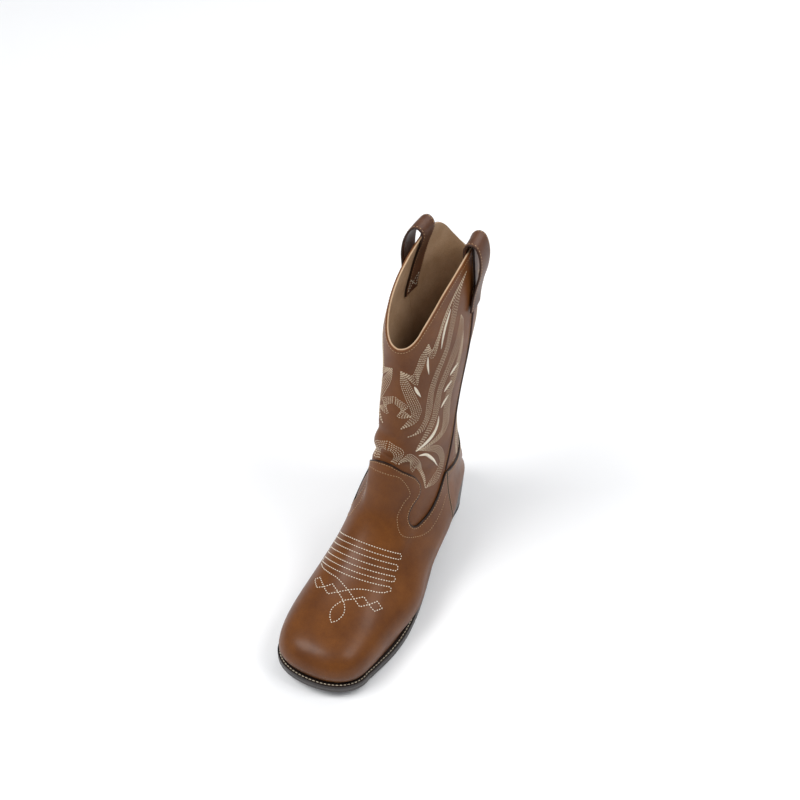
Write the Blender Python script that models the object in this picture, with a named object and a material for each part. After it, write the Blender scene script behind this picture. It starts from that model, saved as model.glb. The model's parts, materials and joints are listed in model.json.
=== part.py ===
"""Western pull-on boot for a left foot, built up as a shoemaker builds it.

Design coordinates, in millimetres, while the shapes are worked out:
  t  distance forward of the back of the heel, towards the toe
  x  across the boot, positive on the outer (lateral) side
  z  height above the floor
The finished boot stands with its toe towards -Y, its outer side towards +X,
and its origin under the middle of its bounding box.

The upper is described by stations: sections that start on the ridge along the
front of the boot and end on the feather line (the edge where the upper meets
the sole), or, higher up, on the line down the back of the shaft.  A place on
the upper is given as a pattern cutter would give it: "a", the distance along
the ridge from the toe, and "d", the distance round the boot from the ridge,
positive on the outer side.
"""
import math

import bmesh
import bpy
import numpy as np
from mathutils import Vector
from mathutils.geometry import delaunay_2d_cdt

for old in list(bpy.data.objects):
    bpy.data.objects.remove(old, do_unlink=True)

MM = 0.001

# ---------------------------------------------------------------- dimensions
GAP = 0.3                 # air kept between touching pieces
LEATHER = 1.5             # vamp and counter
PANEL = 1.2               # shaft panels, toe puff and heel stiffener
LINING = 1.0
MARGIN = 8.5              # lasting margin turned in under the insole
WELT_OUT = 6.0            # how far the welt stands out from the feather line
HEEL_OUT = 3.5            # the same at the heel seat
WELT_THICK = 3.0
SOLE_THICK = 6.0
INSOLE_THICK = 2.5
HEEL_BREAST = 77.0        # t of the front face of the heel
CAP_THICK = 6.0           # rubber heel cap
LIFTS = 5
STRAP_WIDTH = 22.0
STRAP_THICK = 2.0
STRAP_RISE = 9.5          # pull strap above the top line
STRAP_INNER = 62.0        # strap length below the top line, inside
STRAP_OUTER = 56.0        # the same, outside
PIPING_WIDTH = 2.4
SHAFT_LEAN = 6.0          # sideways lean of the shaft, towards the outer side
CENTRE_T = 139.7          # t of the origin
CENTRE_X = 0.8            # x of the origin

# heights of the feather line along the boot: (t, z)
FEATHER = [(-10, 48.2), (0, 47.7), (40, 46.7), (75, 44.7), (110, 34.7), (145, 20), (175, 12.8),
           (205, 11.3), (235, 12.6), (262, 16.4), (290, 21.7)]
# half widths of the feather line: (t, width), outer side then inner side
OUTER_WIDTH = [(3, 0), (38, 30.5), (75, 32), (110, 36.5), (145, 42.5), (175, 46.5),
               (198, 47.5), (220, 45.5), (240, 41.5), (262, 36), (282, 28)]
INNER_WIDTH = [(3, 0), (38, 30.5), (75, 28.5), (110, 28), (145, 33.5), (175, 41),
               (200, 44.5), (220, 44.5), (240, 43), (262, 39), (282, 33)]

# stations from toe to shaft top: ridge point (t, z), end point (t, z; None on the
# feather line), outer and inner half width, sideways place of the ridge, how far
# along the section it is widest, and the roundness of its front and back halves
STATIONS = [
    (285.0, 20.7, 255, None, 38.0, 40.6, -2.0, 1.00, 2.20, 1.00),
    (287.5, 29.5, 251, None, 39.6, 42.0, -2.0, 0.92, 2.50, 1.00),
    (284.5, 39.3, 245, None, 41.5, 43.4, -2.0, 0.86, 2.65, 1.00),
    (274.5, 47.7, 237, None, 43.5, 45.0, -2.0, 0.80, 2.65, 1.00),
    (258.0, 51.7, 225, None, 45.6, 46.8, -2.5, 0.76, 2.55, 1.00),
    (239.5, 54.7, 209, None, 47.6, 47.6, -3.0, 0.74, 2.40, 1.00),
    (220.0, 60.0, 192, None, 47.8, 47.0, -3.5, 0.74, 2.25, 1.00),
    (201.0, 67.5, 175, None, 46.2, 45.0, -4.0, 0.72, 2.15, 1.00),
    (183.0, 77.5, 157, None, 42.8, 42.0, -4.0, 0.70, 2.10, 1.00),
    (168.0, 89.5, 138, None, 39.0, 38.5, -3.5, 0.66, 2.05, 1.00),
    (156.5, 102.5, 116, None, 36.8, 36.0, -3.0, 0.62, 2.05, 1.00),
    (149.5, 117.5, 92, None, 36.5, 35.5, -2.0, 0.60, 2.05, 1.00),
    (145.5, 132.5, 64, None, 37.0, 35.5, -1.5, 0.60, 2.10, 1.10),
    (142.0, 146.5, 32, None, 37.0, 35.5, -1.0, 0.60, 2.10, 1.40),
    (138.5, 160.0, 3, 47.6, 36.8, 35.5, -0.5, 0.60, 2.10, 2.10),
    (135.0, 173.5, 1, 73, 36.0, 35.0, 0.0, 0.58, 2.10, 2.20),
    (132.0, 187.0, 8, 103, 35.0, 34.5, 0.0, 0.56, 2.10, 2.20),
    (129.5, 201.0, 14, 132, 34.5, 34.5, 0.0, 0.54, 2.10, 2.20),
    (127.5, 215.5, 15, 161, 35.0, 35.0, 0.0, 0.53, 2.10, 2.20),
    (126.5, 232.0, 12, 190, 35.5, 35.0, 0.0, 0.53, 2.10, 2.15),
    (126.0, 250.5, 6.5, 220, 35.5, 34.5, 0.0, 0.54, 2.10, 2.10),
    (126.5, 271.0, -1, 252, 34.5, 33.5, 0.0, 0.55, 2.10, 2.10),
    (127.5, 293.5, -8.5, 284, 32.5, 31.5, 0.0, 0.57, 2.10, 2.00),
    (128.5, 316.0, -14.5, 313, 29.0, 28.5, 0.0, 0.59, 2.10, 1.95),
    (130.0, 340.0, -19, 340, 24.0, 24.0, 0.0, 0.61, 2.10, 1.90)]
HEEL_STATION = 14         # the first station that ends on the back line

# ------------------------------------------------------------ pattern outlines
FEATHER_SIDE = 999.0      # stands for "out to the feather line or the back line"
# side seam of the shaft: (a, d)
SIDE_SEAM = [(205, 91), (225, 90.5), (252, 90), (271, 89), (288, 88.5), (302, 90),
             (316.5, 93), (339, 96.5), (357, 99.5), (372, 102.5), (391, 104.5),
             (412, 107.5)]
# top line of the shaft from the front dip over the side peak to the back dip
TOP_LINE_FRONT = [(358.5, 0), (360, 6), (363.5, 12), (370, 18.5), (380, 26.5), (390, 39),
                  (398, 54), (403.5, 74), (407, 94), (408, 107)]
TOP_LINE_BACK = [(408, 107), (408.4, 114), (407.5, 123), (404, 132), (397, 141), (387, 150.5),
                 (379.5, 159), (376, 166), (375, 172)]
# lower edge of the front panel, lapped under the vamp, and of the back panel, lapped
# under the counter
FRONT_LAP = [(216, 0), (212, 15), (205, 26), (195, 28), (181, 25), (170, 28), (164, 39),
             (166, 52), (176, 64), (192, 76.5), (207, 86)]
BACK_LAP = [(212, 93), (217, 103), (221, 114), (226, 124), (232, 134), (238, 143),
            (244, 152), (249, 161), (251, 175)]
STIFFENER_TOP = [(200, 999), (206, 117), (211, 123), (216, 132), (222, 142), (229, 152),
                 (236, 162), (240, 999)]
PUFF_BACK = [(48, 999), (54, 60), (60, 30), (62, 0)]
# seam round the ankle between the vamp lining and the shaft lining
LINING_SEAM = [(231, 0), (233, 40), (236, 80), (240, 120), (247, 150), (250, 175)]
# front edge of the vamp: tongue, corner, side notch and wing
VAMP_TONGUE = [(228, 0), (227, 8), (223.5, 18), (221.5, 27), (219, 35), (214, 42)]
VAMP_NOTCH = [(214, 42), (208, 44.5), (201, 42.5), (193, 37), (184, 34), (177.5, 35.5),
              (174.5, 40.5), (176, 47), (182, 53.5), (195, 66), (210, 79.5), (224, 88.5)]
# seam between vamp and counter, from the wing's end down to the feather line
QUARTER_SEAM = [(224, 90.5), (218, 94), (209.5, 98.5), (200, 103), (191.5, 108.5),
                (184.5, 114.5)]
# top edge of the counter from the side seam to the back line
COUNTER_TOP = [(224.8, 91.5), (228, 102.5), (232, 113), (237, 123), (242.5, 132),
               (248.5, 141), (255, 150), (260.5, 160), (262.5, 172)]


# ------------------------------------------------------------------ small tools
def spline(points):
    """Natural cubic spline through (u, v) points, returned as a function of u."""
    xs = np.array([p[0] for p in points], float)
    ys = np.array([p[1] for p in points], float)
    n = len(xs)
    h = np.diff(xs)
    matrix = np.zeros((n, n))
    right = np.zeros(n)
    matrix[0, 0] = 1
    matrix[-1, -1] = 1
    for i in range(1, n - 1):
        matrix[i, i - 1] = h[i - 1]
        matrix[i, i] = 2 * (h[i - 1] + h[i])
        matrix[i, i + 1] = h[i]
        right[i] = 6 * ((ys[i + 1] - ys[i]) / h[i] - (ys[i] - ys[i - 1]) / h[i - 1])
    bend = np.linalg.solve(matrix, right)

    def value(u):
        u = np.asarray(u, float)
        i = np.clip(np.searchsorted(xs, u) - 1, 0, n - 2)
        p = (xs[i + 1] - u) / h[i]
        q = 1 - p
        curve = (p ** 3 - p) * bend[i] + (q ** 3 - q) * bend[i + 1]
        return p * ys[i] + q * ys[i + 1] + curve * h[i] ** 2 / 6
    return value


def smooth_path(points, step):
    """Points about one step apart along a Catmull-Rom curve through the given ones."""
    pts = [np.array(p, float) for p in points]
    ends = [2 * pts[0] - pts[1]] + pts + [2 * pts[-1] - pts[-2]]
    out = []
    for i in range(len(pts) - 1):
        p0, p1, p2, p3 = ends[i:i + 4]
        count = max(1, int(round(np.linalg.norm(p2 - p1) / step)))
        for j in range(count):
            u = j / count
            out.append(0.5 * (2 * p1 + (p2 - p0) * u + (2 * p0 - 5 * p1 + 4 * p2 - p3) * u ** 2
                              + (3 * p1 - p0 - 3 * p2 + p3) * u ** 3))
    out.append(pts[-1])
    return [tuple(p) for p in out]


def mirrored(path):
    """The same pattern line on the other side of the boot, run backwards."""
    return [(a, -d) for a, d in reversed(path)]


def smoothstep(u):
    u = min(max(u, 0.0), 1.0)
    return u * u * (3 - 2 * u)


def inside(point, loop):
    """Whether a 2-D point lies within a closed loop."""
    x, y = point
    hit = False
    for (x0, y0), (x1, y1) in zip(loop, loop[1:] + loop[:1]):
        if (y0 > y) != (y1 > y) and x < x0 + (y - y0) * (x1 - x0) / (y1 - y0):
            hit = not hit
    return hit


# --------------------------------------------------------------- form of the last
feather_z = spline(FEATHER)


def half_width(table):
    """Half width of the feather line: a superellipse round the heel, then a spline."""
    side = spline(table[1:])
    start = table[0][0]
    join, width = table[1]

    def value(t):
        if t < join:
            u = (join - max(t, start)) / (join - start)
            return width * math.sqrt(max(0.0, 1 - u ** 2.3))
        return float(side(t))
    return value


outer_width = half_width(OUTER_WIDTH)
inner_width = half_width(INNER_WIDTH)
COLUMNS = []
for column in range(10):
    values = []
    for k, row in enumerate(STATIONS):
        v = row[column]
        if v is None:
            v = float(feather_z(row[2]))
        values.append((k, v))
    COLUMNS.append(spline(values))


def half_section(k, side, count=60):
    """Points (t, x, z) from the ridge round one side (+1 outer, -1 inner) to the end."""
    tf, zf, te, ze, wide_out, wide_in, ridge, widest, front, back = [float(c(k)) for c in COLUMNS]
    wide = wide_out if side > 0 else wide_in
    foot = k < HEEL_STATION
    if foot:
        ze = float(feather_z(max(te, 3.0)))
    end = 0.0
    if foot:
        end = (outer_width if side > 0 else inner_width)(max(te, 3.0))
    if k <= 0:
        end = wide
    start = side * ridge
    points = []
    for i in range(count):
        u = math.pi / 2 * i / (count - 1)
        points.append((widest * (1 - math.cos(u) ** (2 / front)),
                       start + (wide - start) * math.sin(u) ** (2 / front)))
    if widest < 0.999:
        for i in range(1, count):
            u = math.pi / 2 * i / (count - 1)
            p = math.sin(u) ** (2 / back) if back > 1.05 else math.sin(u)
            x = end + (wide - end) * max(0.0, 1 - p ** max(back, 2.0)) ** (1 / back)
            points.append((widest + (1 - widest) * p, x))
    lean = SHAFT_LEAN * max(0.0, (k - HEEL_STATION) / 10)
    out = []
    for q, x in points:
        out.append((tf + (te - tf) * q, side * x + lean, zf + (ze - zf) * q))
    return np.array(out)


def even_points(curve, count):
    """Points at even distances along a curve, and the curve's length."""
    step = np.linalg.norm(np.diff(curve, axis=0), axis=1)
    run = np.concatenate([[0], np.cumsum(step)])
    where = np.linspace(0, run[-1], count)
    return np.stack([np.interp(where, run, curve[:, i]) for i in range(3)], 1), run[-1]


# the last as a net of rows (stations) and columns (parts of the way round)
HALF = 12
ROW_AT = [0, 0.5, 1, 1.6, 2.3, 3, 4, 5, 6, 7, 8, 8.5, 9, 9.5, 10, 10.5, 11, 11.5, 12, 12.5,
          13, 13.4, 13.7, 13.9]
ROW_AT += list(range(HEEL_STATION, len(STATIONS)))
ROWS = len(ROW_AT)
COLS = 2 * HALF + 1
HEEL_ROW = ROW_AT.index(HEEL_STATION)
place = np.zeros((ROWS, COLS, 3))
girth = np.zeros((ROWS, 2))
for i, k in enumerate(ROW_AT):
    for s, side in enumerate((1, -1)):
        points, length = even_points(half_section(k, side), HALF + 1)
        girth[i, s] = length
        for j in range(HALF + 1):
            place[i, HALF + side * j] = points[j]
fine = np.array([half_section(k, 1, 3)[0] for k in np.linspace(0, ROW_AT[-1], 400)])
fine_run = np.concatenate([[0], np.cumsum(np.linalg.norm(np.diff(fine, axis=0), axis=1))])
ridge_run = np.interp(ROW_AT, np.linspace(0, ROW_AT[-1], 400), fine_run)


def settled(p, a, part, side, middle):
    """Moves a point from its plain section to where the soft upper hangs.

    The upper stands full over the outer waist, and is slim above the ankle.
    """
    t, x, z = p
    reach = smoothstep((a - 60) / 70) * (1 - smoothstep((a - 192) / 36))
    full = smoothstep((part - 0.42) / 0.36) * (1 - smoothstep((part - 0.88) / 0.12))
    ankle = smoothstep((z - 46) / 55) * (1 - smoothstep((z - 190) / 75))
    t += 11 * ankle * smoothstep((part - 0.62) / 0.38)
    if side > 0:
        x += (9.5 + 4 * smoothstep((a - 150) / 40)) * reach * full
        x -= 6.5 * ankle * smoothstep((part - 0.5) / 0.3) * (x - middle) / 36
    else:
        calf = smoothstep((z - 92) / 40) * (1 - smoothstep((z - 230) / 60))
        calf *= smoothstep((part - 0.08) / 0.2) * (1 - smoothstep((part - 0.75) / 0.25))
        x += 13 * calf
    return t, x, z


for i, k in enumerate(ROW_AT):
    middle = SHAFT_LEAN * max(0.0, (k - HEEL_STATION) / 10)
    for j in range(COLS):
        side = 1 if j > HALF else -1
        part = abs(j - HALF) / HALF
        place[i, j] = settled(place[i, j], ridge_run[i], part, side, middle)

# outward normals at the net's points; the back line's two columns share theirs
normal = np.zeros((ROWS, COLS, 3))
for i in range(ROWS - 1):
    for j in range(COLS - 1):
        a, b = place[i, j], place[i, j + 1]
        c, d = place[i + 1, j], place[i + 1, j + 1]
        n1 = np.cross(b - a, c - a)
        n2 = np.cross(c - d, b - d)
        for (p, q), n in (((i, j), n1), ((i, j + 1), n1 + n2), ((i + 1, j), n1 + n2),
                          ((i + 1, j + 1), n2)):
            normal[p, q] += n
for i in range(HEEL_ROW, ROWS):
    both = normal[i, 0] + normal[i, -1]
    normal[i, 0] = both
    normal[i, -1] = both
normal /= np.linalg.norm(normal, axis=2)[..., None] + 1e-12
middle = (ROWS - 5, HALF + 6)
if normal[middle][1] < 0:
    normal = -normal


def net_place(i, j):
    """Point and normal at a place (i, j) of the net, flat within each triangle."""
    i0 = int(min(max(math.floor(i + 1e-9), 0), ROWS - 2))
    j0 = int(min(max(math.floor(j + 1e-9), 0), COLS - 2))
    u, v = i - i0, j - j0
    if u + v <= 1:
        weights = (((i0, j0), 1 - u - v), ((i0 + 1, j0), u), ((i0, j0 + 1), v))
    else:
        weights = (((i0 + 1, j0 + 1), u + v - 1), ((i0, j0 + 1), 1 - u), ((i0 + 1, j0), 1 - v))
    p = sum(place[key] * w for key, w in weights)
    n = sum(normal[key] * w for key, w in weights)
    return p, n


def to_net(a, d):
    """Net coordinates of the pattern place (a, d)."""
    i = float(np.interp(a, ridge_run, np.arange(ROWS)))
    g = float(np.interp(i, np.arange(ROWS), girth[:, 0 if d >= 0 else 1]))
    share = min(1.0, abs(d) / g)
    return i, HALF + math.copysign(HALF * share, d)


def on_skin(a, d, height):
    """The point at a height above the last, and the normal there."""
    p, n = net_place(*to_net(a, d))
    n = n / np.linalg.norm(n)
    return p + n * height, n


# the feather line as a closed loop of net points, heel back first, outer side forward
feather_keys = [(i, COLS - 1) for i in range(HEEL_ROW, -1, -1)]
feather_keys += [(0, j) for j in range(COLS - 2, -1, -1)]
feather_keys += [(i, 0) for i in range(1, HEEL_ROW)]
feather_loop = [tuple(place[key][:2]) for key in feather_keys]


def loop_normals(loop):
    """Outward unit normals of a closed (t, x) loop at its corners."""
    pts = np.array(loop)
    ahead = np.roll(pts, -1, axis=0) - pts
    behind = pts - np.roll(pts, 1, axis=0)
    ahead /= np.linalg.norm(ahead, axis=1)[:, None]
    behind /= np.linalg.norm(behind, axis=1)[:, None]
    way = ahead + behind
    way /= np.linalg.norm(way, axis=1)[:, None]
    out = np.stack([-way[:, 1], way[:, 0]], 1)
    centre = np.array([150.0, 0.0])
    if ((pts - centre) * out).sum() < 0:
        out = -out
    stretch = 1 / np.maximum(0.8, (out * np.stack([-ahead[:, 1], ahead[:, 0]], 1)).sum(1)
                             * np.sign((out * np.stack([-ahead[:, 1], ahead[:, 0]], 1)).sum()))
    return out * np.abs(stretch)[:, None]


feather_out = loop_normals(feather_loop)
out_at = {key: feather_out[n] for n, key in enumerate(feather_keys)}
out_at[(HEEL_ROW, 0)] = out_at[(HEEL_ROW, COLS - 1)]


def feather_frame(i, j):
    """Outward direction in plan and height of the feather line at the net place (i, j)."""
    if i < 1e-3:
        low = (0, int(min(math.floor(j), COLS - 2)))
        high = (0, low[1] + 1)
        share = j - low[1]
    else:
        col = 0 if j < 1 else COLS - 1
        low = (int(min(math.floor(i), HEEL_ROW - 1)), col)
        high = (low[0] + 1, col)
        share = i - low[0]
    out = out_at[low] * (1 - share) + out_at[high] * share
    z = [float(feather_z(max(place[key][0], 0))) for key in (low, high)]
    return out, z[0] * (1 - share) + z[1] * share


def offset_feather(amount):
    """The feather loop moved outwards by an amount, without the loops tight corners make."""
    pts = np.array(feather_loop)
    out = []
    for p, n in zip(feather_loop, feather_out):
        q = (p[0] + n[0] * amount, p[1] + n[1] * amount)
        nearest = np.linalg.norm(pts - np.array(q), axis=1).min()
        if nearest > abs(amount) * 0.99:
            out.append(q)
    return out


# ---------------------------------------------------------------- mesh building
def world(point):
    t, x, z = point
    return Vector(((x - CENTRE_X) * MM, (CENTRE_T - t) * MM, z * MM))


def material(name, colour, roughness, metallic=0.0):
    mat = bpy.data.materials.get(name)
    if mat:
        return mat
    mat = bpy.data.materials.new(name)
    mat.use_nodes = True
    shader = mat.node_tree.nodes["Principled BSDF"]
    shader.inputs["Base Color"].default_value = (*colour, 1)
    shader.inputs["Roughness"].default_value = roughness
    shader.inputs["Metallic"].default_value = metallic
    mat.diffuse_color = (*colour, 1)
    return mat


MATERIALS = {
    "tan_leather": ((0.16, 0.058, 0.022), 0.38, 0.0),
    "shaft_leather": ((0.15, 0.055, 0.021), 0.42, 0.0),
    "lining_leather": ((0.36, 0.22, 0.12), 0.7, 0.0),
    "piping_leather": ((0.035, 0.008, 0.006), 0.45, 0.0),
    "strap_leather": ((0.13, 0.055, 0.028), 0.5, 0.0),
    "stiffener_board": ((0.45, 0.38, 0.28), 0.85, 0.0),
    "insole_board": ((0.42, 0.30, 0.18), 0.8, 0.0),
    "sock_leather": ((0.34, 0.20, 0.11), 0.65, 0.0),
    "heel_foam": ((0.55, 0.52, 0.45), 0.9, 0.0),
    "spring_steel": ((0.45, 0.45, 0.46), 0.35, 1.0),
    "cork": ((0.35, 0.20, 0.09), 0.95, 0.0),
    "welt_leather": ((0.030, 0.014, 0.009), 0.5, 0.0),
    "welt_thread": ((0.62, 0.52, 0.38), 0.75, 0.0),
    "sole_leather": ((0.020, 0.012, 0.009), 0.45, 0.0),
    "heel_leather": ((0.022, 0.012, 0.009), 0.42, 0.0),
    "cap_rubber": ((0.012, 0.011, 0.010), 0.65, 0.0),
    "nail_brass": ((0.60, 0.42, 0.16), 0.35, 1.0),
    "screw_steel": ((0.40, 0.40, 0.41), 0.4, 1.0),
}


def add_object(name, verts, faces, slot, sharp=50):
    """One named object from points in design coordinates, with its faces pointing out."""
    mesh = bpy.data.meshes.new(name)
    bm = bmesh.new()
    made = [bm.verts.new(world(v)) for v in verts]
    for face in faces:
        bm.faces.new([made[i] for i in face])
    loose = [v for v in bm.verts if not v.link_faces]
    bmesh.ops.delete(bm, geom=loose, context="VERTS")
    bmesh.ops.recalc_face_normals(bm, faces=bm.faces)
    if bm.calc_volume(signed=True) < 0:
        bmesh.ops.reverse_faces(bm, faces=bm.faces)
    bm.to_mesh(mesh)
    bm.free()
    mesh.shade_smooth()
    mesh.set_sharp_from_angle(angle=math.radians(sharp))
    obj = bpy.data.objects.new(name, mesh)
    bpy.context.scene.collection.objects.link(obj)
    colour, roughness, metallic = MATERIALS[slot]
    mesh.materials.append(material(slot, colour, roughness, metallic))
    return obj


def triangulate(points, edges, keep):
    """Constrained triangulation; keep(x, y) says which triangles stay."""
    verts, _, faces, _, _, _ = delaunay_2d_cdt([Vector(p) for p in points], edges, [], 0, 1e-4)
    kept = []
    for face in faces:
        x = sum(verts[i].x for i in face) / 3
        y = sum(verts[i].y for i in face) / 3
        a, b, c = [verts[i] for i in face]
        area = (b - a).cross(c - a) / 2
        if abs(area) > 1e-7 and keep(x, y):
            kept.append(tuple(face) if area > 0 else tuple(reversed(face)))
    return [(v.x, v.y) for v in verts], kept


def loop_edges(start, count):
    return [(start + i, start + (i + 1) % count) for i in range(count)]


def slab(name, slot, outline, top, bottom, holes=(), shape=None, every=10.0, sharp=50):
    """A flat piece: a (t, x) outline with holes, between two surfaces of t.

    Lines across the piece at even steps of t let it follow the curve of the sole
    in the same flats as its neighbours.  shape(t, x, z) may move the points after.
    """
    points = [tuple(p) for p in outline]
    edges = loop_edges(0, len(points))
    for hole in holes:
        edges += loop_edges(len(points), len(hole))
        points += list(hole)
    ts = [p[0] for p in outline]
    wide = max(abs(p[1]) for p in outline) + 5
    t = math.ceil(min(ts) / every + 0.2) * every
    while t < max(ts) - 1:
        edges.append((len(points), len(points) + 1))
        points += [(t, -wide), (t, wide)]
        t += every

    def keep(x, y):
        return inside((x, y), list(outline)) and not any(inside((x, y), list(h)) for h in holes)
    flat, faces = triangulate(points, edges, keep)
    used = sorted({i for f in faces for i in f})
    index = {v: n for n, v in enumerate(used)}
    count = len(used)
    verts = []
    for level in (top, bottom):
        for v in used:
            t, x = flat[v]
            point = (t, x, level(t))
            verts.append(shape(*point) if shape else point)
    solid = [tuple(index[i] for i in f) for f in faces]
    solid += [tuple(index[i] + count for i in reversed(f)) for f in faces]
    border = {}
    for f in faces:
        for i, j in zip(f, f[1:] + f[:1]):
            if (j, i) in border:
                del border[(j, i)]
            else:
                border[(i, j)] = True
    for i, j in border:
        p, q = index[i], index[j]
        solid.append((q, p, p + count, q + count))
    return add_object(name, verts, solid, slot, sharp)


def skin(name, slot, outlines, low, high, margin=None):
    """A leather piece: closed (a, d) outlines between two heights above the last.

    Outlines that meet on the back line are joined there.  margin gives the heights
    (lower, upper), against the feather line, of an edge turned in under the foot.
    """
    verts = []
    index = {}
    tris = []
    for outline in outlines:
        loop = []
        for a, d in outline:
            i, j = to_net(a, d)
            if not loop or abs(loop[-1][0] - i) + abs(loop[-1][1] - j) > 1e-4:
                loop.append((i, j))
        i_low, i_high = min(p[0] for p in loop), max(p[0] for p in loop)
        j_low, j_high = min(p[1] for p in loop), max(p[1] for p in loop)
        points = list(loop)
        edges = loop_edges(0, len(loop))
        keys = {}
        for i in range(math.floor(i_low), math.ceil(i_high) + 1):
            for j in range(math.floor(j_low), math.ceil(j_high) + 1):
                keys[(i, j)] = len(points)
                points.append((float(i), float(j)))
        for (i, j), n in keys.items():
            for other in ((i + 1, j), (i, j + 1)):
                if other in keys:
                    edges.append((n, keys[other]))
            if (i + 1, j) in keys and (i, j + 1) in keys:
                edges.append((keys[(i + 1, j)], keys[(i, j + 1)]))
        flat, faces = triangulate(points, edges, lambda x, y: inside((x, y), loop))
        for f in faces:
            tri = []
            for v in f:
                i, j = flat[v]
                if i > HEEL_ROW - 1e-4 and j < 1e-4:
                    key = (round(i, 3), COLS - 1.0)
                else:
                    key = (round(i, 3), round(j, 3))
                if key not in index:
                    index[key] = len(verts)
                    verts.append((i, j, key))
                tri.append(index[key])
            if len(set(tri)) == 3:
                tris.append(tuple(tri))
    border = {}
    for f in tris:
        for i, j in zip(f, f[1:] + f[:1]):
            if (j, i) in border:
                del border[(j, i)]
            else:
                border[(i, j)] = True
    count = len(verts)
    solid_verts = []
    turned = {}
    feather_vert = set()
    for n, (i, j, key) in enumerate(verts):
        on_feather = i < 1e-3 or ((j < 1e-3 or j > COLS - 1 - 1e-3) and i < HEEL_ROW + 1e-3)
        if on_feather:
            feather_vert.add(n)
    for level, which in ((high, 0), (low, 1)):
        for n, (i, j, key) in enumerate(verts):
            p, normal_here = net_place(i, j)
            if n in feather_vert:
                out, base = feather_frame(i, j)
                z = base + GAP
                if margin:
                    z = base + margin[which]
                solid_verts.append((p[0] + out[0] * level, p[1] + out[1] * level, z))
                turned[n] = (p, out, base)
            else:
                solid_verts.append(tuple(p + normal_here * level))
    solid = [f for f in tris] + [tuple(i + count for i in reversed(f)) for f in tris]
    ring = {}
    for i, j in border:
        if margin and i in feather_vert and j in feather_vert:
            for n in (i, j):
                if n not in ring:
                    p, out, base = turned[n]
                    inward = (p[0] - out[0] * MARGIN, p[1] - out[1] * MARGIN)
                    ring[n] = len(solid_verts)
                    under = float(feather_z(max(inward[0], 0)))
                    solid_verts.append((*inward, under + margin[0]))
                    solid_verts.append((*inward, under + margin[1]))
            a, b = ring[i], ring[j]
            solid.append((j, i, a, b))
            solid.append((b, a, a + 1, b + 1))
            solid.append((b + 1, a + 1, i + count, j + count))
        else:
            solid.append((j, i, i + count, j + count))
    for n, r in ring.items():
        ends = sum(1 for e in border if n in e and not (e[0] in feather_vert and e[1] in feather_vert))
        if ends:
            other = [e for e in border if n in e and e[0] in ring and e[1] in ring]
            if len(other) == 1:
                solid.append((n, n + count, r + 1, r) if other[0][0] == n else (n + count, n, r, r + 1))
    return add_object(name, solid_verts, solid, slot, 40)


# ------------------------------------------------------------------ the upper
side_seam = spline(SIDE_SEAM)


SEAM_STEPS = [212, 219.5] + [227 + 9.05 * n for n in range(21)]


def seam_line(a_low, a_high, shift):
    """Pattern points along the outer side seam, moved sideways by shift."""
    steps = [a_low] + [a for a in SEAM_STEPS if a_low + 0.5 < a < a_high - 0.5] + [a_high]
    return [(a, float(side_seam(a)) + shift) for a in steps]


def lift_line(points, rise):
    return [(a + rise, d) for a, d in points]


def both_sides(outline):
    """An outline and its mirror image, the two halves of a piece round the back."""
    return [outline, mirrored(outline)]


# vamp: feather line, quarter seam, wing, notch and tongue
edge = smooth_path(VAMP_TONGUE, 6)[:-1] + smooth_path(VAMP_NOTCH, 6)
seam = smooth_path(QUARTER_SEAM, 8)
outer_half = edge + [(a, d - 0.2) for a, d in seam] + [(184.5, FEATHER_SIDE), (0, FEATHER_SIDE)]
skin("vamp", "tan_leather", [outer_half + mirrored(outer_half)], 0.0, LEATHER,
     margin=(-LEATHER, 0.0))

# counter: wraps the heel from quarter seam to quarter seam
top = smooth_path(COUNTER_TOP, 8)
top[-1] = (262.5, FEATHER_SIDE)
outer_half = [(184.9, FEATHER_SIDE)]
outer_half += [(a, d + 0.5) for a, d in reversed(seam[:-1])] + top[1:]
skin("counter", "tan_leather", both_sides(outer_half), 0.0, LEATHER, margin=(-LEATHER, 0.0))

# shaft panels, lapped under the vamp and the counter, parted by the side piping
lap = smooth_path(FRONT_LAP, 8)
top = smooth_path(TOP_LINE_FRONT, 8)
outer_half = lap + seam_line(212, 408, -1.5)
outer_half += [p for p in reversed(top) if p[1] < 105]
skin("shaft_front", "shaft_leather", [outer_half + mirrored(outer_half)[1:-1]],
     -GAP - PANEL, -GAP)
lap = smooth_path(BACK_LAP, 8)[1:]
lap[-1] = (251, FEATHER_SIDE)
top = smooth_path(TOP_LINE_BACK, 8)
top[-1] = (375, FEATHER_SIDE)
outer_half = [p for p in top if p[1] > 110][::-1]
outer_half += seam_line(212, 407, 1.5)[::-1] + lap
skin("shaft_back", "shaft_leather", both_sides(outer_half), -GAP - PANEL, -GAP)
for side, label in ((1, "lateral"), (-1, "medial")):
    strip = seam_line(227, 408, -PIPING_WIDTH / 2)
    strip += seam_line(227, 408, PIPING_WIDTH / 2)[::-1]
    if side < 0:
        strip = mirrored(strip)
    skin("side_piping_" + label, "piping_leather", [strip], -GAP - PANEL, 1.2)

# stiffening inside the upper
back = smooth_path(PUFF_BACK[1:], 9)
half = [(0, FEATHER_SIDE), (48, FEATHER_SIDE)] + back
skin("toe_puff", "stiffener_board", [half + mirrored(half)[1:]], -GAP - PANEL, -GAP)
top = [STIFFENER_TOP[0]] + smooth_path(STIFFENER_TOP[1:-1], 8) + [STIFFENER_TOP[-1]]
skin("heel_counter_stiffener", "stiffener_board", both_sides(top), -GAP - PANEL, -GAP)

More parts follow.
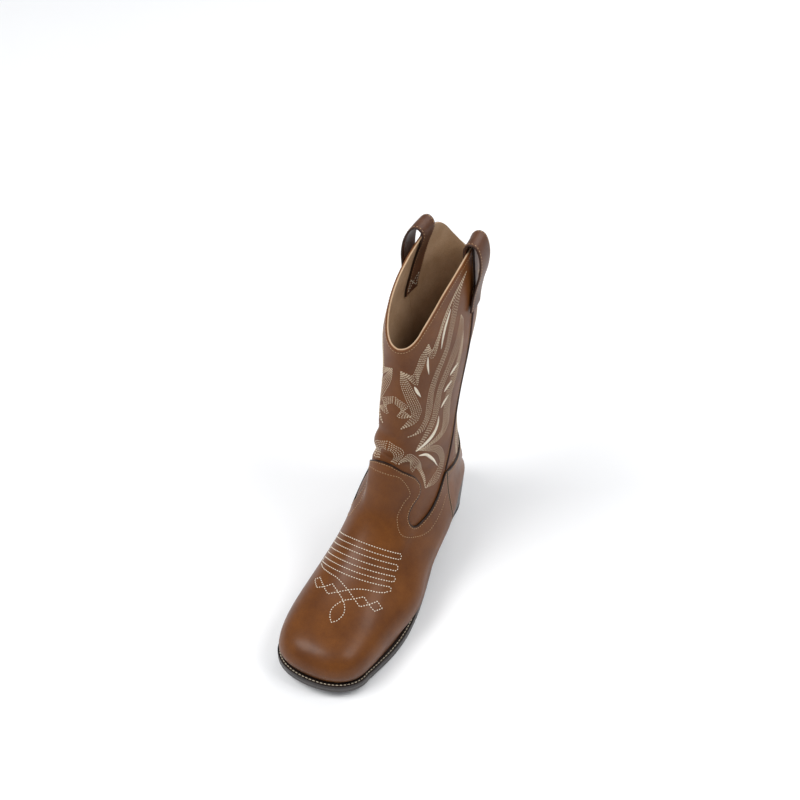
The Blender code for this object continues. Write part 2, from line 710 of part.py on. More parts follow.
# linings
LINING_TOP = -2 * GAP - PANEL
seam_round = smooth_path(LINING_SEAM, 9)
seam_round[-1] = (250, FEATHER_SIDE)
half = [(0, 0), (0, FEATHER_SIDE)] + [(a - 0.2, d) for a, d in reversed(seam_round)]
skin("vamp_lining", "lining_leather", both_sides(half), LINING_TOP - LINING, LINING_TOP,
     margin=(GAP, GAP + LINING))
top = lift_line(smooth_path(TOP_LINE_FRONT, 8), 0.4)
low = [p for p in lift_line(seam_round, 0.3) if p[1] < 86]
half = low + seam_line(237.5, 408.4, -0.3) + [p for p in reversed(top) if p[1] < 104]
skin("shaft_lining_front", "lining_leather", [half + mirrored(half)[1:-1]],
     LINING_TOP - LINING, LINING_TOP)
top = lift_line(smooth_path(TOP_LINE_BACK, 8), 0.4)
top[-1] = (375.4, FEATHER_SIDE)
low = [p for p in lift_line(seam_round, 0.3) if p[1] > 94]
half = [p for p in top if p[1] > 110][::-1] + seam_line(238, 407.6, 0.3)[::-1] + low
skin("shaft_lining_back", "lining_leather", both_sides(half), LINING_TOP - LINING, LINING_TOP)


# ------------------------------------------------------------------ pull straps
def pull_strap(name, side):
    """A strap folded over the top line, its inner and outer legs along the side seam."""
    a_top = 408.0
    seam_a = np.linspace(a_top, 300, 60)
    seam_p = [on_skin(a, side * float(side_seam(a)), 0)[0] for a in seam_a]
    run = np.concatenate([[0], np.cumsum([np.linalg.norm(q - p) for p, q in
                                          zip(seam_p, seam_p[1:])])])
    up = seam_p[0] - seam_p[12]
    up /= np.linalg.norm(up)
    path = [(-STRAP_INNER, -4.1), (-45, -4.1), (-25, -4.1), (-12, -4.3), (-3, -4.6), (4, -4.2),
            (8.2, -1.4), (STRAP_RISE, 2.8), (7, 7.0), (0.5, 9.6), (-9, 10.4), (-20, 8.8),
            (-32, 5.2), (-42, 3.1), (-50, 2.7), (-STRAP_OUTER, 2.7)]
    path = smooth_path(path, 7)
    across = [-11.0, -5.5, 0.0, 5.5, 11.0]
    faces = []
    verts = []
    for n, (u, h) in enumerate(path):
        before = path[max(n - 1, 0)]
        after = path[min(n + 1, len(path) - 1)]
        du, dh = after[0] - before[0], after[1] - before[1]
        size = math.hypot(du, dh)
        du, dh = du / size, dh / size
        a = float(np.interp(max(-u, 0), run, seam_a))
        for thick in (-0.5, 0.5):
            for c in across:
                p, out = on_skin(a, side * float(side_seam(a)) + c, h)
                p = p + up * max(u, 0)
                off = (out * du - up * dh) * thick * STRAP_THICK
                verts.append(tuple(p + off))
    wide = len(across)
    ring = 2 * wide
    order = list(range(wide)) + list(range(ring - 1, wide - 1, -1))
    for n in range(len(path) - 1):
        for m in range(ring):
            i, j = order[m], order[(m + 1) % ring]
            faces.append((n * ring + i, n * ring + j, (n + 1) * ring + j, (n + 1) * ring + i))
    last = (len(path) - 1) * ring
    for m in range(wide - 1):
        faces.append((m, m + 1, wide + m + 1, wide + m))
        faces.append((last + m, last + m + 1, last + wide + m + 1, last + wide + m))
    add_object(name, verts, faces, "strap_leather")


pull_strap("pull_strap_lateral", 1)
pull_strap("pull_strap_medial", -1)


# ------------------------------------------------------------------ the bottom
def edge_out(t):
    """How far the sole stands out from the feather line at t."""
    return HEEL_OUT + (WELT_OUT - HEEL_OUT) * smoothstep((t - 50) / 40)


def sole_loop(inset=0.0):
    """The sole's outline, drawn in by inset."""
    out = []
    for p, n in zip(feather_loop, feather_out):
        amount = edge_out(p[0]) - inset
        out.append((p[0] + n[0] * amount, p[1] + n[1] * amount))
    return out


def cut_loop(loop, t_cut, front):
    """The part of a closed loop ahead of (or behind) t_cut, outer side first."""
    ring = list(loop)
    top = max(range(len(ring)), key=lambda n: ring[n][0] if not front else -ring[n][0])
    ring = ring[top:] + ring[:top + 1]
    out = []
    for p, q in zip(ring, ring[1:]):
        p_in = (p[0] > t_cut) == front
        q_in = (q[0] > t_cut) == front
        if p_in:
            out.append(p)
        if p_in != q_in:
            u = (t_cut - p[0]) / (q[0] - p[0])
            out.append((t_cut, p[1] + (q[1] - p[1]) * u))
    return out


def level(shift):
    """A surface that runs parallel to the feather line."""
    return lambda t: float(feather_z(t)) + shift


def circle(t, x, radius, count=12):
    return [(t + radius * math.cos(2 * math.pi * n / count),
             x + radius * math.sin(2 * math.pi * n / count)) for n in range(count)]


def band(outer, inner, t_cut, front):
    """A U-shaped outline between two loops, ending at t_cut."""
    return cut_loop(outer, t_cut, front) + cut_loop(inner, t_cut, front)[::-1]


INNER_EDGE = offset_feather(-MARGIN + 0.6)
WELT_TOP = -LEATHER - 0.5
SOLE_TOP = WELT_TOP - WELT_THICK - GAP
SEAT = SOLE_TOP - SOLE_THICK - GAP
SCREW = (44.0, 0.0)
SCREW_HOLE = circle(*SCREW, 2.3)
slab("welt", "welt_leather", band(sole_loop(), INNER_EDGE, HEEL_BREAST + 2, True),
     level(WELT_TOP), level(WELT_TOP - WELT_THICK))
slab("welt_thread", "welt_thread",
     band(sole_loop(1.1), sole_loop(1.9), HEEL_BREAST + 12, True),
     level(WELT_TOP + GAP + 0.4), level(WELT_TOP + GAP))
slab("heel_rand", "welt_leather", band(sole_loop(), INNER_EDGE, HEEL_BREAST + 1.4, False),
     level(WELT_TOP), level(WELT_TOP - WELT_THICK))
slab("outsole", "sole_leather", sole_loop(0.1), level(SOLE_TOP), level(SOLE_TOP - SOLE_THICK),
     holes=[SCREW_HOLE])

# inside the welt: filler with a slot for the shank, shank and its cover
BOARD_BOTTOM = 2 * GAP + LINING + 0.1
slot = [(21.7, -7.3), (128.3, -7.3), (128.3, 7.3), (21.7, 7.3)]
shank = [(22, -7), (128, -7), (128, 7), (22, 7)]
slab("cork_filler", "cork", offset_feather(-MARGIN - 0.6), level(BOARD_BOTTOM - GAP),
     level(SOLE_TOP + GAP), holes=[slot])
slab("steel_shank", "spring_steel", shank, level(SOLE_TOP + GAP + 1.6), level(SOLE_TOP + GAP),
     holes=[SCREW_HOLE])
slab("shank_cover", "insole_board", shank, level(BOARD_BOTTOM - GAP),
     level(SOLE_TOP + 2 * GAP + 1.6), holes=[SCREW_HOLE])
BOARD_TOP = BOARD_BOTTOM + INSOLE_THICK
slab("insole_board", "insole_board", offset_feather(-4.8), level(BOARD_TOP),
     level(BOARD_BOTTOM), holes=[SCREW_HOLE])
PAD_THICK = 2.4
pad = cut_loop(offset_feather(-7.5), 64.0, False)
slab("heel_pad", "heel_foam", pad, level(BOARD_TOP + GAP + PAD_THICK), level(BOARD_TOP + GAP))


def sock_level(shift):
    """The sock liner lies on the insole and rises over the heel pad."""
    def value(t):
        rise = (PAD_THICK + GAP) * (1 - smoothstep((t - 66) / 28))
        return float(feather_z(t)) + BOARD_TOP + GAP + rise + shift
    return value


slab("sock_liner", "sock_leather", offset_feather(-5.0), sock_level(1.0), sock_level(0.0))

# ------------------------------------------------------------------ the heel
heel_loop = cut_loop(sole_loop(0.2), HEEL_BREAST, False)
breast_wide = abs(heel_loop[0][1])
curve = []
for n in range(1, 8):
    u = n / 8
    x = heel_loop[-1][1] + (heel_loop[0][1] - heel_loop[-1][1]) * u
    curve.append((HEEL_BREAST - 2.5 * math.sin(math.pi * u), x))
heel_outline = heel_loop + curve


def heel_taper(t, x, z):
    """The heel narrows a little from the seat down to the floor."""
    fall = min(max((34.0 - z) / 34.0, 0.0), 1.0)
    shrink = 1 - 0.055 * fall
    return (44 + (t - 44) * shrink, x * shrink, z)


def heel_level(share, shift):
    """A level between the top of the cap (0) and the heel seat (1)."""
    def value(t):
        floor = CAP_THICK + GAP
        return floor + (float(feather_z(t)) + SEAT - floor) * share + shift
    return value


BRADS = [(14, 0), (28, 19), (28, -19), (62, 18), (62, -18)]
brad_holes = [circle(t, x, 1.5, 10) for t, x in BRADS]
for n in range(LIFTS):
    holes = []
    if n == 0:
        holes = brad_holes
    if n >= 2:
        holes = [SCREW_HOLE]
    slab("heel_lift_%d" % (n + 1), "heel_leather", heel_outline,
         heel_level((n + 1) / LIFTS, -GAP / 2 if n < LIFTS - 1 else 0.0),
         heel_level(n / LIFTS, GAP / 2 if n else 0.0), holes=holes, shape=heel_taper)
slab("heel_cap", "cap_rubber", heel_outline, lambda t: CAP_THICK, lambda t: 0.0,
     holes=brad_holes, shape=heel_taper, every=60.0)


def pin(name, slot_name, t, x, radius, low, high):
    """An upright round pin with slightly broken ends."""
    rings = [(radius * 0.8, low), (radius, low + 0.4), (radius, high - 0.4),
             (radius * 0.8, high)]
    count = 10
    verts = []
    faces = []
    for r, z in rings:
        for p in circle(t, x, r, count):
            verts.append((*p, z))
    for n in range(len(rings) - 1):
        for m in range(count):
            k = (m + 1) % count
            faces.append((n * count + m, n * count + k, (n + 1) * count + k, (n + 1) * count + m))
    faces.append(tuple(range(count - 1, -1, -1)))
    faces.append(tuple(range((len(rings) - 1) * count, len(rings) * count)))
    add_object(name, verts, faces, slot_name, 60)


for n, (t, x) in enumerate(BRADS):
    at = heel_taper(t, x, 3.0)
    pin("heel_nail_%d" % (n + 1), "nail_brass", at[0], at[1], 1.0, 0.8,
        heel_level(1 / LIFTS, -GAP)(t))
top = float(feather_z(SCREW[0]))
pin("heel_screw", "screw_steel", *SCREW, 1.8, heel_level(2 / LIFTS, GAP)(SCREW[0]),
    top + BOARD_TOP - 0.2)
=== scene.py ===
"""Looks of a western pull-on boot for a left foot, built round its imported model.

The outside and the linings are rebuilt as fine skins over the same last that the
model was drawn on; the pieces hidden inside keep their model shapes.

Design coordinates, in millimetres: t forward of the back of the heel, x across
(positive on the outer side), z above the floor.  A place on the upper is (a, d):
"a" runs along the ridge at the front of the boot from the toe, "d" runs round the
boot from that ridge, positive on the outer side.
"""
import json
import math

import bmesh
import bpy
import numpy as np
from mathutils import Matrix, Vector
from mathutils.geometry import delaunay_2d_cdt
from mathutils.kdtree import KDTree


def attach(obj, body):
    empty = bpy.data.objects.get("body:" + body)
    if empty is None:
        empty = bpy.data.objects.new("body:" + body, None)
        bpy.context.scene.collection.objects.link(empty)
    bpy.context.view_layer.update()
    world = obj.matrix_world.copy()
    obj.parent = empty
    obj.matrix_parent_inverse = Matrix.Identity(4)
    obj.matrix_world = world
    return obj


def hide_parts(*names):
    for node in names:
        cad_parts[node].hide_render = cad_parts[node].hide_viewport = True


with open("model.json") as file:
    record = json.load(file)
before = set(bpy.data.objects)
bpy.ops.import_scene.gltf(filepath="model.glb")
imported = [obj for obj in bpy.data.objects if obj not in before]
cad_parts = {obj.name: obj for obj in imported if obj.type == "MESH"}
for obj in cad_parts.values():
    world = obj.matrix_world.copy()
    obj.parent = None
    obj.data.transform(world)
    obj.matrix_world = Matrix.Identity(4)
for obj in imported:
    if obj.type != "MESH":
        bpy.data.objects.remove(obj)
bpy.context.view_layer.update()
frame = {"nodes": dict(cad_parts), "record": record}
MM = 0.001

# ---------------------------------------------------------------- dimensions
LEATHER = 1.5              # vamp and counter
PANEL = 1.2                # shaft panels
GAP = 0.3                  # between glued or sewn faces
MARGIN = 8.0               # leather turned in under the foot
WELT_OUT = 6.0             # how far the sole stands out in front
HEEL_OUT = 3.5             # how far it stands out round the heel
WELT_THICK = 3.0
SOLE_THICK = 6.0
HEEL_BREAST = 77.0         # front face of the heel
HEEL_MIDDLE = 44
HEEL_TALL = 34.0
HEEL_TAPER = 0.055         # how much narrower the heel is at the floor
CAP_THICK = 6.0
LIFTS = 5
STRAP_WIDTH = 22.0
STRAP_THICK = 2.0
STRAP_RISE = 9.5           # pull strap above the top line
STRAP_INNER = 62.0         # how far a strap runs down inside
STRAP_OUTER = 56.0         # how far it runs down outside
SHAFT_LEAN = 6.0
EASE_SINK = 0.9            # most that the easing of the heel may sink the leather
PLATE_GRID = 7.0
CENTRE_T = 139.7           # the world's origin in design coordinates
CENTRE_X = 0.8
WELT_TOP = -LEATHER - 0.5
SOLE_TOP = WELT_TOP - WELT_THICK
SEAT = SOLE_TOP - SOLE_THICK

FEATHER = [(-10, 48.2), (0, 47.7), (40, 46.7), (75, 44.7), (110, 34.7), (145, 20), (175, 12.8),
           (205, 11.3), (235, 12.6), (262, 16.4), (290, 21.7)]
OUTER_WIDTH = [(3, 0), (38, 30.5), (75, 32), (110, 36.5), (145, 42.5), (175, 46.5),
               (198, 47.5), (220, 45.5), (240, 41.5), (262, 36), (282, 28)]
INNER_WIDTH = [(3, 0), (38, 30.5), (75, 28.5), (110, 28), (145, 33.5), (175, 41),
               (200, 44.5), (220, 44.5), (240, 43), (262, 39), (282, 33)]
# ridge point (t, z), end point (t, z), outer and inner half width, place of the
# ridge, how far along it is widest, roundness of the front and back halves
STATIONS = [
    (285.0, 20.7, 255, None, 38.0, 40.6, -2.0, 1.00, 2.20, 1.00),
    (287.5, 29.5, 251, None, 39.6, 42.0, -2.0, 0.92, 2.50, 1.00),
    (284.5, 39.3, 245, None, 41.5, 43.4, -2.0, 0.86, 2.65, 1.00),
    (274.5, 47.7, 237, None, 43.5, 45.0, -2.0, 0.80, 2.65, 1.00),
    (258.0, 51.7, 225, None, 45.6, 46.8, -2.5, 0.76, 2.55, 1.00),
    (239.5, 54.7, 209, None, 47.6, 47.6, -3.0, 0.74, 2.40, 1.00),
    (220.0, 60.0, 192, None, 47.8, 47.0, -3.5, 0.74, 2.25, 1.00),
    (201.0, 67.5, 175, None, 46.2, 45.0, -4.0, 0.72, 2.15, 1.00),
    (183.0, 77.5, 157, None, 42.8, 42.0, -4.0, 0.70, 2.10, 1.00),
    (168.0, 89.5, 138, None, 39.0, 38.5, -3.5, 0.66, 2.05, 1.00),
    (156.5, 102.5, 116, None, 36.8, 36.0, -3.0, 0.62, 2.05, 1.00),
    (149.5, 117.5, 92, None, 36.5, 35.5, -2.0, 0.60, 2.05, 1.00),
    (145.5, 132.5, 64, None, 37.0, 35.5, -1.5, 0.60, 2.10, 1.10),
    (142.0, 146.5, 32, None, 37.0, 35.5, -1.0, 0.60, 2.10, 1.40),
    (138.5, 160.0, 3, 47.6, 36.8, 35.5, -0.5, 0.60, 2.10, 2.10),
    (135.0, 173.5, 1, 73, 36.0, 35.0, 0.0, 0.58, 2.10, 2.20),
    (132.0, 187.0, 8, 103, 35.0, 34.5, 0.0, 0.56, 2.10, 2.20),
    (129.5, 201.0, 14, 132, 34.5, 34.5, 0.0, 0.54, 2.10, 2.20),
    (127.5, 215.5, 15, 161, 35.0, 35.0, 0.0, 0.53, 2.10, 2.20),
    (126.5, 232.0, 12, 190, 35.5, 35.0, 0.0, 0.53, 2.10, 2.15),
    (126.0, 250.5, 6.5, 220, 35.5, 34.5, 0.0, 0.54, 2.10, 2.10),
    (126.5, 271.0, -1, 252, 34.5, 33.5, 0.0, 0.55, 2.10, 2.10),
    (127.5, 293.5, -8.5, 284, 32.5, 31.5, 0.0, 0.57, 2.10, 2.00),
    (128.5, 316.0, -14.5, 313, 29.0, 28.5, 0.0, 0.59, 2.10, 1.95),
    (130.0, 340.0, -19, 340, 24.0, 24.0, 0.0, 0.61, 2.10, 1.90)]
HEEL_STATION = 14

ROUND = 999.0             # stands for "round to the feather line or the back line"
SIDE_SEAM = [(205, 91), (225, 90.5), (252, 90), (271, 89), (288, 88.5), (302, 90),
             (316.5, 93), (339, 96.5), (357, 99.5), (372, 102.5), (391, 104.5),
             (412, 107.5)]
TOP_LINE_FRONT = [(358.5, 0), (360, 6), (363.5, 12), (370, 18.5), (380, 26.5), (390, 39),
                  (398, 54), (403.5, 74), (407, 94), (408, 107)]
TOP_LINE_BACK = [(408, 107), (408.4, 114), (407.5, 123), (404, 132), (397, 141), (387, 150.5),
                 (379.5, 159), (376, 166), (375, 172)]
FRONT_LAP = [(216, 0), (212, 15), (205, 26), (195, 28), (181, 25), (170, 28), (164, 39),
             (166, 52), (176, 64), (192, 76.5), (207, 86)]
BACK_LAP = [(212, 93), (217, 103), (221, 114), (226, 124), (232, 134), (238, 143),
            (244, 152), (249, 161), (251, 175)]
LINING_SEAM = [(231, 0), (233, 40), (236, 80), (240, 120), (247, 150), (250, 175)]
VAMP_TONGUE = [(228, 0), (227, 8), (223.5, 18), (221.5, 27), (219, 35), (214, 42)]
VAMP_NOTCH = [(214, 42), (208, 44.5), (201, 42.5), (193, 37), (184, 34), (177.5, 35.5),
              (174.5, 40.5), (176, 47), (182, 53.5), (195, 66), (210, 79.5), (224, 88.5)]
QUARTER_SEAM = [(224, 90.5), (218, 94), (209.5, 98.5), (200, 103), (191.5, 108.5),
                (184.5, 114.5)]
COUNTER_TOP = [(224.8, 91.5), (228, 102.5), (232, 113), (237, 123), (242.5, 132),
               (248.5, 141), (255, 150), (260.5, 160), (262.5, 172)]


# ------------------------------------------------------------------ small tools
def spline(points):
    """Natural cubic spline through (u, v) points, returned as a function of u."""
    xs = np.array([p[0] for p in points], float)
    ys = np.array([p[1] for p in points], float)
    n = len(xs)
    h = np.diff(xs)
    matrix = np.zeros((n, n))
    right = np.zeros(n)
    matrix[0, 0] = 1
    matrix[-1, -1] = 1
    for i in range(1, n - 1):
        matrix[i, i - 1] = h[i - 1]
        matrix[i, i] = 2 * (h[i - 1] + h[i])
        matrix[i, i + 1] = h[i]
        right[i] = 6 * ((ys[i + 1] - ys[i]) / h[i] - (ys[i] - ys[i - 1]) / h[i - 1])
    bend = np.linalg.solve(matrix, right)

    def value(u):
        u = np.asarray(u, float)
        i = np.clip(np.searchsorted(xs, u) - 1, 0, n - 2)
        p = (xs[i + 1] - u) / h[i]
        q = 1 - p
        curve = (p ** 3 - p) * bend[i] + (q ** 3 - q) * bend[i + 1]
        return p * ys[i] + q * ys[i + 1] + curve * h[i] ** 2 / 6
    return value


def smooth_path(points, step):
    """Points about one step apart along a Catmull-Rom curve through the given ones."""
    pts = [np.array(p, float) for p in points]
    ends = [2 * pts[0] - pts[1]] + pts + [2 * pts[-1] - pts[-2]]
    out = []
    for i in range(len(pts) - 1):
        p0, p1, p2, p3 = ends[i:i + 4]
        count = max(1, int(round(np.linalg.norm(p2 - p1) / step)))
        for j in range(count):
            u = j / count
            out.append(0.5 * (2 * p1 + (p2 - p0) * u + (2 * p0 - 5 * p1 + 4 * p2 - p3) * u ** 2
                              + (3 * p1 - p0 - 3 * p2 + p3) * u ** 3))
    out.append(pts[-1])
    return [tuple(p) for p in out]


def mirrored(path):
    return [(a, -d) for a, d in reversed(path)]


def smoothstep(u):
    u = np.clip(u, 0.0, 1.0)
    return u * u * (3 - 2 * u)


def unit(v):
    return v / (np.linalg.norm(v, axis=-1, keepdims=True) + 1e-12)


def inside(points, loop):
    """Which of many 2-D points lie within a closed loop."""
    x, y = points[:, 0], points[:, 1]
    hit = np.zeros(len(points), bool)
    ring = np.asarray(loop)
    for (x0, y0), (x1, y1) in zip(ring, np.roll(ring, -1, axis=0)):
        if y0 != y1:
            cross = ((y0 > y) != (y1 > y)) & (x < x0 + (y - y0) * (x1 - x0) / (y1 - y0))
            hit ^= cross
    return hit


def nearest(points, targets):
    """Distance from each 2-D point to the nearest target."""
    tree = KDTree(len(targets))
    for n, (x, y) in enumerate(targets):
        tree.insert((x, y, 0), n)
    tree.balance()
    return np.array([tree.find((x, y, 0))[2] for x, y in points])


def along(points):
    """Distance run along a line of points."""
    points = np.asarray(points, float)
    return np.concatenate([[0], np.cumsum(np.linalg.norm(np.diff(points, axis=0), axis=1))])


def at_run(where, run, points):
    """Places along a line of points, found by how far along they are."""
    points = np.asarray(points)
    return np.stack([np.interp(where, run, column) for column in points.T], 1)


# --------------------------------------------------------------- form of the last
feather_z = spline(FEATHER)


def half_width(table):
    """Half width of the feather line: a superellipse round the heel, then a spline."""
    side = spline(table[1:])
    start = table[0][0]
    join, width = table[1]

    def value(t):
        if t < join:
            u = (join - max(t, start)) / (join - start)
            return width * math.sqrt(max(0.0, 1 - u ** 2.3))
        return float(side(t))
    return value


outer_width = half_width(OUTER_WIDTH)
inner_width = half_width(INNER_WIDTH)
COLUMNS = []
for column in range(10):
    COLUMNS.append(spline([(k, float(feather_z(row[2])) if row[column] is None else row[column])
                           for k, row in enumerate(STATIONS)]))


def half_section(k, side, count=60):
    """Points (t, x, z) from the ridge round one side (+1 outer, -1 inner) to the end."""
    tf, zf, te, ze, wide_out, wide_in, ridge, widest, front, back = [float(c(k)) for c in COLUMNS]
    wide = wide_out if side > 0 else wide_in
    foot = k < HEEL_STATION
    if foot:
        ze = float(feather_z(max(te, 3.0)))
    end = 0.0
    if foot:
        end = (outer_width if side > 0 else inner_width)(max(te, 3.0))
    if k <= 0:
        end = wide
    start = side * ridge
    u = np.linspace(0, math.pi / 2, count)
    q = widest * (1 - np.cos(u).clip(0, 1) ** (2 / front))
    x = start + (wide - start) * np.sin(u) ** (2 / front)
    if widest < 0.999:
        p = np.sin(u[1:]) ** (2 / back) if back > 1.05 else np.sin(u[1:])
        tail = end + (wide - end) * np.maximum(0.0, 1 - p ** max(back, 2.0)) ** (1 / back)
        q = np.concatenate([q, widest + (1 - widest) * p])
        x = np.concatenate([x, tail])
    lean = SHAFT_LEAN * max(0.0, (k - HEEL_STATION) / 10)
    return np.stack([tf + (te - tf) * q, side * x + lean, zf + (ze - zf) * q], 1)


def even_points(curve, count):
    run = along(curve)
    return at_run(np.linspace(0, run[-1], count), run, curve), run[-1]


HALF = 72
PER_STATION = 12
last_station = len(STATIONS) - 1
ROW_AT = list(np.arange(last_station * PER_STATION + 1) / PER_STATION)
ROW_AT += [HEEL_STATION - s for s in (0.065, 0.05, 0.036, 0.025, 0.016, 0.009, 0.004, 0.001)]
ROW_AT = sorted(ROW_AT)
ROWS = len(ROW_AT)
COLS = 2 * HALF + 1
HEEL_ROW = ROW_AT.index(HEEL_STATION)
place = np.zeros((ROWS, COLS, 3))
girth = np.zeros((ROWS, 2))
for i, k in enumerate(ROW_AT):
    for s, side in enumerate((1, -1)):
        points, length = even_points(half_section(k, side), HALF + 1)
        girth[i, s] = length
        for j in range(HALF + 1):
            place[i, HALF + side * j] = points[j]
ridge_run = along(place[:, HALF])
share = np.abs(np.arange(COLS) - HALF)[None, :] / HALF
outer_half = (np.arange(COLS) > HALF)[None, :]


def settled(net):
    """The net moved from its plain sections to where the soft upper hangs.

    It stands full over the outer waist, and is slim above the ankle.
    """
    t, x, z = net[..., 0], net[..., 1], net[..., 2]
    a = ridge_run[:, None]
    middle = SHAFT_LEAN * np.maximum(0.0, (np.array(ROW_AT)[:, None] - HEEL_STATION) / 10)
    reach = smoothstep((a - 60) / 70) * (1 - smoothstep((a - 192) / 36))
    full = smoothstep((share - 0.42) / 0.36) * (1 - smoothstep((share - 0.88) / 0.12))
    ankle = smoothstep((z - 46) / 55) * (1 - smoothstep((z - 190) / 75))
    outer = x + (9.5 + 4 * smoothstep((a - 150) / 40)) * reach * full
    outer = outer - 6.5 * ankle * smoothstep((share - 0.5) / 0.3) * (outer - middle) / 36
    calf = smoothstep((z - 92) / 40) * (1 - smoothstep((z - 230) / 60))
    calf = calf * smoothstep((share - 0.08) / 0.2) * (1 - smoothstep((share - 0.75) / 0.25))
    t = t + 11 * ankle * smoothstep((share - 0.62) / 0.38)
    return np.stack([t, np.where(outer_half, outer, x + 13 * calf), z], -1)


place = settled(place)


def net_normals():
    """Outward unit normals at the net's points; the back line's two columns share theirs."""
    normal = np.zeros((ROWS, COLS, 3))
    a, b = place[:-1, :-1], place[:-1, 1:]
    c, d = place[1:, :-1], place[1:, 1:]
    n1 = np.cross(b - a, c - a)
    n2 = np.cross(c - d, b - d)
    normal[:-1, :-1] += n1
    normal[:-1, 1:] += n1 + n2
    normal[1:, :-1] += n1 + n2
    normal[1:, 1:] += n2
    both = normal[HEEL_ROW:, 0] + normal[HEEL_ROW:, -1]
    normal[HEEL_ROW:, 0] = both
    normal[HEEL_ROW:, -1] = both
    normal = unit(normal)
    if normal[ROWS - 20, HALF + 20][1] < 0:
        normal = -normal
    return normal


# the fan of sections round the heel is eased where it meets the back line, and it
# keeps clear of the stiffener inside it
row_at = np.array(ROW_AT)[:, None]
easing = smoothstep((row_at - 11.0) / 1.5) * (1 - smoothstep((row_at - 14.2) / 1.2))
easing = easing * smoothstep((share - 0.45) / 0.25) * (1 - smoothstep((share - 0.82) / 0.12))
before = place
outward = net_normals()
for _ in range(60):
    mean = place.copy()
    mean[1:-1, 1:-1] = (place[:-2, 1:-1] + place[2:, 1:-1] + place[1:-1, :-2] + place[1:-1, 2:]) / 4
    place = place + (mean - place) * 0.8 * easing[..., None]
sunk = -((place - before) * outward).sum(-1)
place = place + outward * np.maximum(sunk - EASE_SINK, 0)[..., None]


def slack(a, d):
    """How far the soft leather stands off the last: creases at the ankle, waves above."""
    shaft = smoothstep((a - 245) / 40) * (1 - smoothstep((a - 350) / 40))
    wave = 0.8 * np.sin(a / 21 + d / 37 + 0.6) * np.sin(d / 19 + 0.8 - a / 60)
    front = np.exp(-(((d + 8) / 62) ** 4))
    line = a - 233 + 4 * np.sin(d / 23) + 0.0009 * d ** 2
    crease = -2.2 * np.exp(-(line / 4.5) ** 2) + 1.5 * np.exp(-((line - 11) / 8) ** 2)
    second = -1.1 * np.exp(-((line - 24) / 5) ** 2) * np.exp(-(((d + 30) / 40) ** 2))
    return shaft * wave + front * (crease + second)


normal = net_normals()
spread = share * np.where(np.arange(COLS)[None, :] >= HALF, girth[:, :1], girth[:, 1:])
spread = spread * np.sign(np.arange(COLS) - HALF)[None, :]
lift = slack(ridge_run[:, None] + 0 * spread, spread)
place = place + normal * lift[..., None]
normal = net_normals()


def girth_at(a, d):
    """Length of the section through a, from the ridge to its end, on d's side."""
    i = np.interp(a, ridge_run, np.arange(ROWS))
    out = np.interp(i, np.arange(ROWS), girth[:, 0])
    inn = np.interp(i, np.arange(ROWS), girth[:, 1])
    return np.where(np.asarray(d) >= 0, out, inn)


def to_net(a, d):
    i = np.interp(a, ridge_run, np.arange(ROWS))
    part = np.minimum(1.0, np.abs(d) / girth_at(a, d))
    j = HALF + np.sign(d) * HALF * part
    around = (part > 1 - 1e-9) & (i >= HEEL_ROW - 1e-9)
    return i, np.where(around, COLS - 1.0, j)


def on_skin(a, d, height):
    """Points at a height above the last, and the normals there."""
    a = np.atleast_1d(np.asarray(a, float))
    d = np.atleast_1d(np.asarray(d, float))
    i, j = to_net(a, d)
    i0 = np.clip(np.floor(i).astype(int), 0, ROWS - 2)
    j0 = np.clip(np.floor(j).astype(int), 0, COLS - 2)
    u = (i - i0)[:, None]
    v = (j - j0)[:, None]
    weights = (((i0, j0), (1 - u) * (1 - v)), ((i0 + 1, j0), u * (1 - v)),
               ((i0, j0 + 1), (1 - u) * v), ((i0 + 1, j0 + 1), u * v))
    p = sum(place[key] * w for key, w in weights)
    n = unit(sum(normal[key] * w for key, w in weights))
    return p + n * np.reshape(np.broadcast_to(height, (len(a),)), (-1, 1)), n


# the feather line as a closed loop, heel back first, outer side forward
feather_keys = [(i, COLS - 1) for i in range(HEEL_ROW, -1, -1)]
feather_keys += [(0, j) for j in range(COLS - 2, -1, -1)]
feather_keys += [(i, 0) for i in range(1, HEEL_ROW)]
feather_loop = np.array([place[key][:2] for key in feather_keys])


def loop_normals(loop):
    """Outward unit normals of a closed loop at its corners."""
    pts = np.asarray(loop, float)
    ahead = unit(np.roll(pts, -1, axis=0) - pts)
    behind = unit(pts - np.roll(pts, 1, axis=0))
    way = unit(ahead + behind)
    out = np.stack([-way[:, 1], way[:, 0]], 1)
    area = (pts[:, 0] * np.roll(pts[:, 1], -1) - np.roll(pts[:, 0], -1) * pts[:, 1]).sum()
    return -out if area > 0 else out


feather_out = loop_normals(feather_loop)
for _ in range(6):
    feather_out = unit(feather_out + 0.5 * (np.roll(feather_out, 1, 0) + np.roll(feather_out, -1, 0)))
toe_out = np.zeros((COLS, 2))
side_out = np.zeros((2, HEEL_ROW + 1, 2))
for (i, j), out in zip(feather_keys, feather_out):
    if i == 0:
        toe_out[j] = out
    if j == COLS - 1:
        side_out[0, i] = out
    if j == 0:
        side_out[1, i] = out
side_out[1, HEEL_ROW] = side_out[0, HEEL_ROW]


def plan_out(i, j):
    """Outward direction in plan at places (i, j) on the feather line."""
    toe = at_run(j, np.arange(COLS), toe_out)
    outer, inner = [at_run(i, np.arange(HEEL_ROW + 1), ways) for ways in side_out]
    side = np.where((j > HALF)[:, None], outer, inner)
    return unit(np.where((i < 1e-6)[:, None], toe, side))


def offset_feather(amount):
    """The feather loop moved outwards, without the loops that tight corners make."""
    moved = feather_loop + feather_out * amount
    gap = nearest(moved, feather_loop)
    return moved[gap > abs(amount) * 0.985]


# -------------------------------------------------------------------- materials
LOOKS = {}
WHITE = (1.0, 1.0, 1.0)


